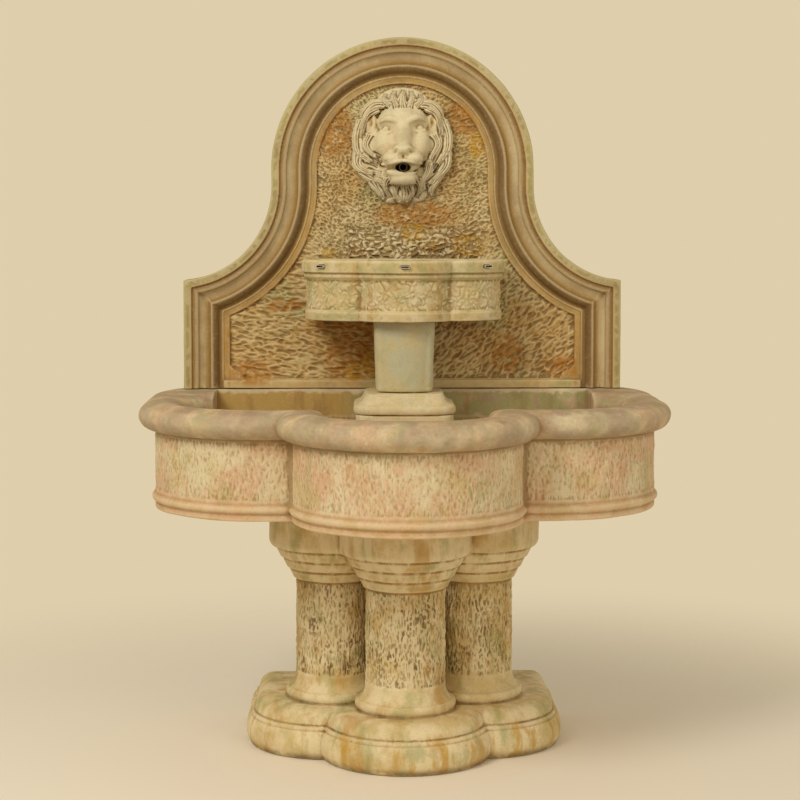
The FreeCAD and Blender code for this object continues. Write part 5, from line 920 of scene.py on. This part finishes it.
class FOUNTAIN_OT_upper_bowl(bpy.types.Operator):
    """Small lobed bowl with a crackled band between a plain rim and foot"""

    bl_idname = "fountain.upper_bowl"
    bl_label = "Upper Bowl"

    def execute(self, context):
        bowl = casting_copy("upper_bowl", "lobed_upper_bowl")
        even_mesh(bowl, sizes().bowl_mesh)
        places, normals = surface(bowl)
        front = np.where(places[:, 1] < PLAIN_BACK, 1.0, 0.0)
        mark(bowl, "band", between(places[:, 2], *BOWL_BAND) * front * (np.abs(normals[:, 2]) < 0.5))
        cells = scoop_texture("crackle", "VORONOI_F2_F1", 0.7)
        press(bowl, sizes().bowl_crackle, "band", cells, (15, 15, 15), 0.4)
        press(bowl, 2 * MM, "band", cloud_texture("bowl swell"), (24, 24, 24))
        wear(bowl, 1.2, 26)
        weather(bowl, 1.1 * MM)
        places = surface(bowl)[0]
        # The inside attribute marks the hollow's walls for painted shade.
        keep(bowl, "inside", self.inside(places))
        keep(bowl, "crease", grooves(np.abs(places[:, 0]) / MM, (CREASE_PLACE,), CREASE_HALF_WIDTH))
        thin_out(bowl)
        finish_piece(bowl, self.crackled_stone(), "bowl_stone", "upper_bowl")
        return {"FINISHED"}

    def inside(self, places):
        """1 on the walls of the hollow below its rim, which are painted dark as shade."""
        depth = np.full(len(places), -1.0)
        for aside, out, radius in BOWL_LOBES:
            away = np.hypot(np.abs(places[:, 0]) - aside * MM, places[:, 1] - WALL + out * MM)
            depth = np.maximum(depth, radius * MM - away)
        return ease(depth, *SHADE_INWARD) * between(places[:, 2], *BOWL_HOLLOW)

    def crackled_stone(self):
        """Damp cast stone: matt, sandy and green, with rusty creases and a hollow painted nearly black as
        shade.
        """
        tone = colors()
        stone = Finish("Crackled Cast Stone", tone.pale)
        stone.patches(
            (tone.sand, 0.9, 50, 0.30, 0.56),
            (tone.moss, 0.55, 45, 0.46, 0.66, EVEN, 1.9),
            (tone.bistre, 0.35, 16, 0.52, 0.70, EVEN, 7.3),
            (tone.ochre, 0.5, 25, 0.54, 0.70, (1, 1, 2.5), 4.4),
        )
        stone.layer(tone.rust, 0.5, stone.stored("crease", 0.2, 1.0), stone.patch(16, 0.45, 0.6))
        weathered(stone, tone, 0.6, 0.35)
        # Painted shade: the hollow's walls, seen through the spouts, are made nearly black.
        stone.layer(tone.umber, 0.97, stone.stored("inside", 0.2, 0.9))
        return stone.done(0.8, 3, 0.8)


# Spacing of the surface points of the riser, its base and the pump chamber.
RISER_MESH = 2 * MM


class FOUNTAIN_OT_riser(bpy.types.Operator):
    """Smooth riser on its moulded base, and the pump chamber under it"""

    bl_idname = "fountain.riser"
    bl_label = "Riser"

    def execute(self, context):
        smooth = self.smooth_stone()
        washed = self.washed_stone()
        for node, name, slot, material in (
            ("riser_column", "smooth_riser", "riser_stone", smooth),
            ("riser_base", "moulded_riser_base", "riser_base_stone", washed),
            ("pump_chamber", "pump_chamber_block", "chamber_stone", washed),
        ):
            block = casting_copy(node, name)
            even_mesh(block, RISER_MESH)
            wear(block, 1.6, 24)
            weather(block, 1.2 * MM)
            finish_piece(block, material, slot, node)
        return {"FINISHED"}

    def smooth_stone(self):
        """Cast stone rubbed smooth and kept damp by splashes: grey green, satin, with faint stains."""
        tone = colors()
        stone = Finish("Smooth Cast Stone", tone.lichen)
        stone.patches(
            (tone.sand, 0.6, 55, 0.46, 0.64),
            (tone.moss, 0.35, 40, 0.50, 0.70, EVEN, 7.1),
            (tone.bistre, 0.3, 26, 0.60, 0.76, EVEN, 2.9),
        )
        weathered(stone, tone, 0.4, 0.3)
        return stone.done(0.75, 3, 0.5)

    def washed_stone(self):
        """Cast stone washed by the water in the basin: matt and pale, brown in its mouldings."""
        tone = colors()
        stone = Finish("Rubbed Cast Stone", tone.pale)
        stone.patches(
            (tone.lichen, 0.5, 40, 0.45, 0.65),
            (tone.ochre, 0.35, 30, 0.58, 0.72, EVEN, 5.2),
            (tone.sand, 0.6, 24, 0.40, 0.60, EVEN, 9.4),
        )
        weathered(stone, tone, 0.75, 0.2)
        return stone.done(0.8, 3, 0.6)


# The chiselled band: its foot, top and soft edge. The wall behind the riser, inside the basin: the same.
BASIN_BAND = (BASIN_FOOT + 42 * MM, RIM_TOP - 62 * MM, 5 * MM)
BACK_WALL = (BASIN_FOOT + 0.06, RIM_TOP - 0.006, 4 * MM)
# That wall lies this near the building's wall and reaches this far to each side, in m.
BACK_WALL_DEPTH = 0.11
BACK_WALL_REACH = 0.43
# The left of the basin turns into its middle between these places across, in m.
LEFT_PART = (-0.2, 0.0)
# Heights at which the pink wash of the foot and the brown of the rim start and are full.
FOOT_WASH = (BASIN_FOOT + 46 * MM, BASIN_FOOT + 26 * MM)
RIM_BROWN = (RIM_TOP - 60 * MM, RIM_TOP - 54 * MM)


class FOUNTAIN_OT_basin(bpy.types.Operator):
    """Trefoil basin with a rolled rim over a chiselled band"""

    bl_idname = "fountain.basin"
    bl_label = "Basin"

    def execute(self, context):
        basin = casting_copy("basin", "trefoil_basin")
        even_mesh(basin, sizes().basin_mesh)
        places, normals = surface(basin)
        outside = np.where(places[:, 1] < BASIN_BACK, 1.0, 0.0) * (np.abs(normals[:, 2]) < 0.4)
        mark(basin, "band", between(places[:, 2], *BASIN_BAND) * outside)
        strokes = scoop_texture("chisel strokes", "VORONOI_F1", 1.3)
        press(basin, sizes().basin_stroke, "band", strokes, (6, 6, 19))
        press(basin, 2.6 * MM, "band", cloud_texture("basin swell"), (22, 22, 40), 0.7)
        wear(basin, 2, 55)
        weather(basin, 1.1 * MM)
        places, normals = surface(basin)
        back = (places[:, 1] > WALL - BACK_WALL_DEPTH) & (np.abs(places[:, 0]) < BACK_WALL_REACH)
        back_wall = (normals[:, 1] < -0.5) & back
        keep(basin, "back wall", back_wall * between(places[:, 2], *BACK_WALL))
        keep(basin, "left", 1 - ease(places[:, 0], *LEFT_PART))
        thin_out(basin)
        finish_piece(basin, self.chiselled_stone(), "basin_stone", "basin")
        return {"FINISHED"}

    def chiselled_stone(self):
        """Dusty cast stone: matt, pink and sandy in patches, a dull brown rim and an algae green inside."""
        tone = colors()
        stone = Finish("Chiselled Cast Stone", tone.pale)
        stone.patches(
            (tone.rose, 0.8, 110, 0.38, 0.58),
            (tone.sand, 0.7, 70, 0.46, 0.64, EVEN, 1.3),
            (tone.cream, 0.6, 50, 0.54, 0.70, (1, 1, 1.8), 9.2),
            (tone.moss, 0.35, 60, 0.52, 0.68, (1, 1, 1.6), 3.8),
            (tone.ochre, 0.5, 28, 0.52, 0.70, (1, 1, 2.4), 5.7),
            (tone.rose, 0.6, 14, 0.50, 0.66, (1, 1, 1.6), 2.7),
            (tone.cream, 0.5, 9, 0.52, 0.68, (1, 1, 1.8), 6.3),
        )
        foot = stone.height(*FOOT_WASH)
        stone.layer(tone.rose, 0.5, foot)
        stone.layer(tone.ochre, 0.45, foot, stone.patch(40, 0.45, 0.6, EVEN, 6.1))
        rim = stone.height(*RIM_BROWN)
        stone.layer(tone.dun, 0.75, rim, stone.patch(60, 0.25, 0.60, EVEN, 2.2))
        stone.layer(tone.moss, 0.35, rim, stone.patch(45, 0.50, 0.66, EVEN, 4.9))
        wall = stone.stored("back wall", 0.2, 0.9)
        stone.layer(tone.moss, 0.75, wall, stone.patch(45, 0.30, 0.55, EVEN, 3.6))
        stone.layer(tone.ochre, 0.7, wall, stone.stored("left", 0.2, 0.8))
        stone.layer(tone.bistre, 0.45, wall, stone.patch(30, 0.48, 0.66, (1, 1, 3), 8.2))
        weathered(stone, tone, 0.42, 0.35)
        return stone.done(0.82, 3.5, 1.0)


# Grooves round the capitals and lines round the plinth: heights and half widths, in mm.
RING_HEIGHTS = (328, 349.5, 371, 392.5)
RING_HALF_WIDTH = 3.4
LINE_HEIGHTS = (57, 65)
LINE_HALF_WIDTH = 2.4
# A line is this part as deep as a groove.
LINE_DEPTH = 0.4
# The pitted shafts: their foot, top and soft edge, in m.
SHAFTS = (0.150, 0.324, 0.006)
# Heights at which drips on the plinth, soil at its foot, shade under the capitals, and pale streaks
# with painted light on the capitals start and are full, in m.
PLINTH_DRIPS = (0.085, 0.055)
FOOT_SOIL = (0.018, 0.003)
CAPITAL_SHADE = (0.335, 0.325)
CAPITAL_STREAKS_AND_LIGHT = (0.335, 0.36)


class FOUNTAIN_OT_pedestal(bpy.types.Operator):
    """Three pitted columns with ringed capitals on a trefoil plinth"""

    bl_idname = "fountain.pedestal"
    bl_label = "Pedestal"

    def execute(self, context):
        pedestal = casting_copy("pedestal", "clustered_pedestal")
        even_mesh(pedestal, sizes().column_mesh)
        places, normals = surface(pedestal)
        height = places[:, 2]
        mark(pedestal, "shafts", between(height, *SHAFTS) * (np.abs(normals[:, 2]) < 0.5))
        pits = scoop_texture("column pits", "VORONOI_F1", 1.4)
        press(pedestal, sizes().column_pit, "shafts", pits, (6, 6, 22))
        press(pedestal, 2.4 * MM, "shafts", cloud_texture("shaft swell"), (12, 12, 30), 0.7)
        lines = LINE_DEPTH * grooves(height / MM, LINE_HEIGHTS, LINE_HALF_WIDTH)
        rings = np.maximum(grooves(height / MM, RING_HEIGHTS, RING_HALF_WIDTH), lines)
        rings = rings * (np.abs(normals[:, 2]) < 0.95)
        mark(pedestal, "rings", rings)
        press(pedestal, -sizes().column_groove, "rings")
        wear(pedestal, 2, 50)
        weather(pedestal, 1.3 * MM)
        keep(pedestal, "grooved", rings)
        thin_out(pedestal)
        finish_piece(pedestal, self.pitted_stone(), "pedestal_stone", "pedestal")
        return {"FINISHED"}

    def pitted_stone(self):
        """Porous cast stone: matt, cream and ochre, rusty in its grooves, dark under the capitals."""
        tone = colors()
        stone = Finish("Pitted Cast Stone", tone.sand)
        stone.patches(
            (tone.cream, 0.8, 70, 0.36, 0.58),
            (tone.ochre, 0.7, 60, 0.50, 0.66, (1, 1, 1.8), 1.1),
            (tone.moss, 0.6, 50, 0.50, 0.68, (1, 1, 1.5), 3.1),
            (tone.rust, 0.45, 34, 0.60, 0.74, (1, 1, 2.4), 5.6),
        )
        drips = stone.patch(30, 0.52, 0.62, (1, 1, 5), 2.6)
        stone.layer(tone.gold, 0.7, stone.height(*PLINTH_DRIPS), drips)
        stone.layer(tone.umber, 0.65, stone.height(*FOOT_SOIL), stone.patch(30, 0.30, 0.55, EVEN, 1.7))
        stone.layer(tone.rust, 0.7, stone.stored("grooved", 0.1, 0.9))
        weathered(stone, tone, 0.5, 0.4)
        pits = stone.stored("crevice", 0.58, 0.85)
        shade = stone.patch(34, 0.44, 0.64, EVEN, 8.3)
        stone.layer(tone.umber, 0.55, pits, shade, stone.height(*CAPITAL_SHADE))
        # Pale streaks on the capitals, made stronger as painted light where the basin keeps the lamp off
        # them.
        streaks = stone.patch(22, 0.44, 0.64, (1, 1, 5), 7.9)
        stone.layer(tone.cream, 0.75, stone.height(*CAPITAL_STREAKS_AND_LIGHT), streaks)
        return stone.done(0.8, 3, 1.0)


# Grey brown dust that settles on the fittings.
DUST = "#8A8574"


def moulded(name, code, rough):
    """Moulded plastic, rubber or fired ceramic: a nearly even colour under a faint orange peel."""
    finish = Finish(name, hex_to_linear(code))
    finish.patches((hex_to_linear(DUST), 0.15, 30, 0.55, 0.8))
    return finish.done(rough, 1.2, 0.1, 0.2)


def worn_metal(name, code, film, rough):
    """Drawn or pressed metal: bright where it is rubbed, and dull under a film in small patches."""
    finish = Finish(name, hex_to_linear(code))
    finish.patches((hex_to_linear(film), 0.8, 6, 0.4, 0.62))
    return finish.done(rough, 1.5, 0.2, 0.3, 1.0)


class FOUNTAIN_OT_fittings(bpy.types.Operator):
    """Finishes of the metal, plastic and rubber fittings"""

    bl_idname = "fountain.fittings"
    bl_label = "Fittings"

    def execute(self, context):
        finishes = (
            # Rain has left the tin pale, with a grey bloom that breaks its shine.
            (worn_metal("Weathered Tin Plate", "#E2E2DE", "#A9A69C", 0.3),
             ("spout_left", "spout_center", "spout_right")),
            # The tube is brown with a green cast of age, darkened as painted shade of the mouth, and shines
            # only softly.
            (worn_metal("Copper Tube With Painted Shade", "#6E5236", "#4A4A30", 0.5), ("mouth_pipe",)),
            # Stainless steel stays bright and cool grey.
            (worn_metal("Stainless Steel", "#B9BBBC", "#8E9091", 0.3),
             ("hose_clamps", "hose_clips", "panel_dowels", "mask_studs", "mask_nuts", "hanger_screws")),
            # Zinc is bluer and more matt than steel.
            (worn_metal("Zinc Plated Steel", "#A7ABAE", "#7D8083", 0.45), ("hanger_plates",)),
            # Pump housings have the low even sheen of a mould's fine grain.
            (moulded("Black ABS", "#1D1F21", 0.5),
             ("pump_body", "volute_cover", "intake_cover", "hose_elbow")),
            (moulded("Grey ABS", "#6F7377", 0.5), ("impeller", "outlet_barb", "flow_dial")),
            (moulded("Dark PVC", "#3B3C3D", 0.45), ("drain_bushing", "drain_nut")),
            # Rubber takes nearly all light and has no highlight.
            (moulded("Black Rubber", "#191919", 0.8),
             ("shaft_bushes", "pump_feet", "cord_gland", "drain_seal", "drain_stopper")),
            # A soft hose has a wet, narrow highlight along its length.
            (moulded("Black Vinyl Hose", "#26282A", 0.35), ("feed_hose",)),
            # Ground ceramic is white and glossy.
            (moulded("Fired Alumina", "#E9E7E0", 0.3), ("impeller_shaft",)),
        )
        for material, names in finishes:
            for name in names:
                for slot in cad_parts[name].material_slots:
                    slot.material = material
        return {"FINISHED"}


# The floor's side, and how far from the fountain's middle it is solid and then clear, in m.
FLOOR_SIDE = 8
FLOOR_SOLID = 0.7
FLOOR_CLEAR = 1.9
# Lamps: name, place and side of the soft square in m, and power in W. They face this place.
LAMPS = (("Key Light", (-2.0, -2.6, 3.2), 1.4, 86), ("Fill Light", (2.6, -3.0, 1.8), 2.4, 28))
LIT_PLACE = (0, 0, 0.75)
# Surroundings: the warm white that lights the fountain, with its strength, and the colour that is seen.
SKY_COLOR = "#FFF6E6"
SKY_STRENGTH = 0.5
SEEN_COLOR = "#DFCEAC"
# The camera stands where the photograph was taken: its place, lens in mm and upward shift. It is tilted
# down and turned by these angles in degrees.
CAMERA_PLACE = (-84.4 * MM, WALL - 3970 * MM, 1037 * MM)
CAMERA_LENS = 86
CAMERA_SHIFT = -0.09
CAMERA_TILT = 3.25
CAMERA_TURN = -1.16


class FOUNTAIN_OT_stage(bpy.types.Operator):
    """Pale floor that fades into a plain background, soft lights and the camera"""

    bl_idname = "fountain.stage"
    bl_label = "Stage"

    def execute(self, context):
        clear_selection()
        bpy.ops.mesh.primitive_plane_add(size=1, location=(0, 0, 0))
        floor = context.object
        floor.name = "studio_floor"
        floor.data.name = "studio_floor"
        bpy.ops.object.mode_set(mode="EDIT")
        bpy.ops.transform.resize(value=(FLOOR_SIDE, FLOOR_SIDE, 1))
        bpy.ops.object.mode_set(mode="OBJECT")
        floor.data.materials.append(self.paper())
        context.scene.world = self.surroundings()
        for name, place, side, power in LAMPS:
            self.light(name, place, side, power)
        bpy.ops.object.camera_add(
            location=CAMERA_PLACE,
            rotation=(math.radians(90 - CAMERA_TILT), 0, math.radians(CAMERA_TURN)),
        )
        camera = context.object
        camera.name = "Photo Camera"
        camera.data.lens = CAMERA_LENS
        camera.data.shift_y = CAMERA_SHIFT
        context.scene.camera = camera
        context.scene.view_settings.view_transform = "Standard"
        return {"FINISHED"}

    def paper(self):
        """Matt paper that is clear beyond a ring round the fountain, so that no far edge shows."""
        paper = with_nodes(bpy.data.materials.new("Studio Paper"))
        place = add_node(paper, "ShaderNodeTexCoord").outputs["Object"]
        away = add_node(paper, "ShaderNodeVectorMath", {"operation": "LENGTH"}, Vector=place)
        fade = add_node(
            paper, "ShaderNodeMapRange", {"interpolation_type": "SMOOTHSTEP"},
            Value=away.outputs["Value"], From_Min=FLOOR_SOLID, From_Max=FLOOR_CLEAR,
        )
        matt = add_node(
            paper, "ShaderNodeBsdfPrincipled", Base_Color=tuple(colors().backdrop), Roughness=0.95
        )
        clear = add_node(paper, "ShaderNodeBsdfTransparent")
        mixed = add_node(
            paper, "ShaderNodeMixShader", None, {1: matt.outputs[0], 2: clear.outputs[0]},
            Fac=fade.outputs["Result"],
        )
        return finish_material(paper, mixed)

    def surroundings(self):
        """A pale background to look at, and a weaker warm white that lights the fountain."""
        world = with_nodes(bpy.data.worlds.new("Studio"))
        rays = add_node(world, "ShaderNodeLightPath").outputs
        seen = rays["Is Camera Ray"]
        for other in ("Is Glossy Ray", "Is Transmission Ray"):
            either = add_node(world, "ShaderNodeMath", {"operation": "MAXIMUM"}, {0: seen, 1: rays[other]})
            seen = either.outputs[0]
        sky = add_node(
            world, "ShaderNodeBackground", Color=hex_to_linear(SKY_COLOR), Strength=SKY_STRENGTH
        )
        shown = add_node(world, "ShaderNodeBackground", Color=hex_to_linear(SEEN_COLOR), Strength=1.0)
        mixed = add_node(
            world, "ShaderNodeMixShader", None, {1: sky.outputs[0], 2: shown.outputs[0]}, Fac=seen
        )
        add_node(world, "ShaderNodeOutputWorld", Surface=mixed.outputs[0])
        return world

    def light(self, name, place, side, power):
        """A square soft light that faces the middle of the fountain."""
        bpy.ops.object.light_add(type="AREA", location=place)
        lamp = bpy.context.object
        lamp.name = name
        lamp.data.size = side
        lamp.data.energy = power
        lamp.rotation_euler = (Vector(LIT_PLACE) - Vector(place)).to_track_quat("-Z", "Y").to_euler()


OPERATORS = (
    FOUNTAIN_OT_stage, FOUNTAIN_OT_back_panel, FOUNTAIN_OT_lion_mask, FOUNTAIN_OT_upper_bowl,
    FOUNTAIN_OT_riser, FOUNTAIN_OT_basin, FOUNTAIN_OT_pedestal, FOUNTAIN_OT_fittings,
)


class FOUNTAIN_PT_sidebar(bpy.types.Panel):
    """Buttons for every piece and the settings that they share"""

    bl_idname = "FOUNTAIN_PT_sidebar"
    bl_label = "Garden Wall Fountain"
    bl_space_type = "VIEW_3D"
    bl_region_type = "UI"
    bl_category = "Fountain"

    def draw(self, context):
        layout = self.layout
        for group in (context.scene.fountain_colors, context.scene.fountain_sizes):
            for name in group.__annotations__:
                layout.prop(group, name)
        for operator in OPERATORS:
            layout.operator(operator.bl_idname)


CLASSES = (StoneColors, StoneSizes) + OPERATORS + (FOUNTAIN_PT_sidebar,)


def register():
    for item in CLASSES:
        bpy.utils.register_class(item)
    bpy.types.Scene.fountain_colors = bpy.props.PointerProperty(type=StoneColors)
    bpy.types.Scene.fountain_sizes = bpy.props.PointerProperty(type=StoneSizes)


def unregister():
    del bpy.types.Scene.fountain_sizes
    del bpy.types.Scene.fountain_colors
    for item in reversed(CLASSES):
        bpy.utils.unregister_class(item)


def main():
    """Build every piece and the stage, in order."""
    register()
    bpy.ops.fountain.stage()
    bpy.ops.fountain.back_panel()
    bpy.ops.fountain.lion_mask()
    bpy.ops.fountain.upper_bowl()
    bpy.ops.fountain.riser()
    bpy.ops.fountain.basin()
    bpy.ops.fountain.pedestal()
    bpy.ops.fountain.fittings()


if __name__ == "__main__":
    main()
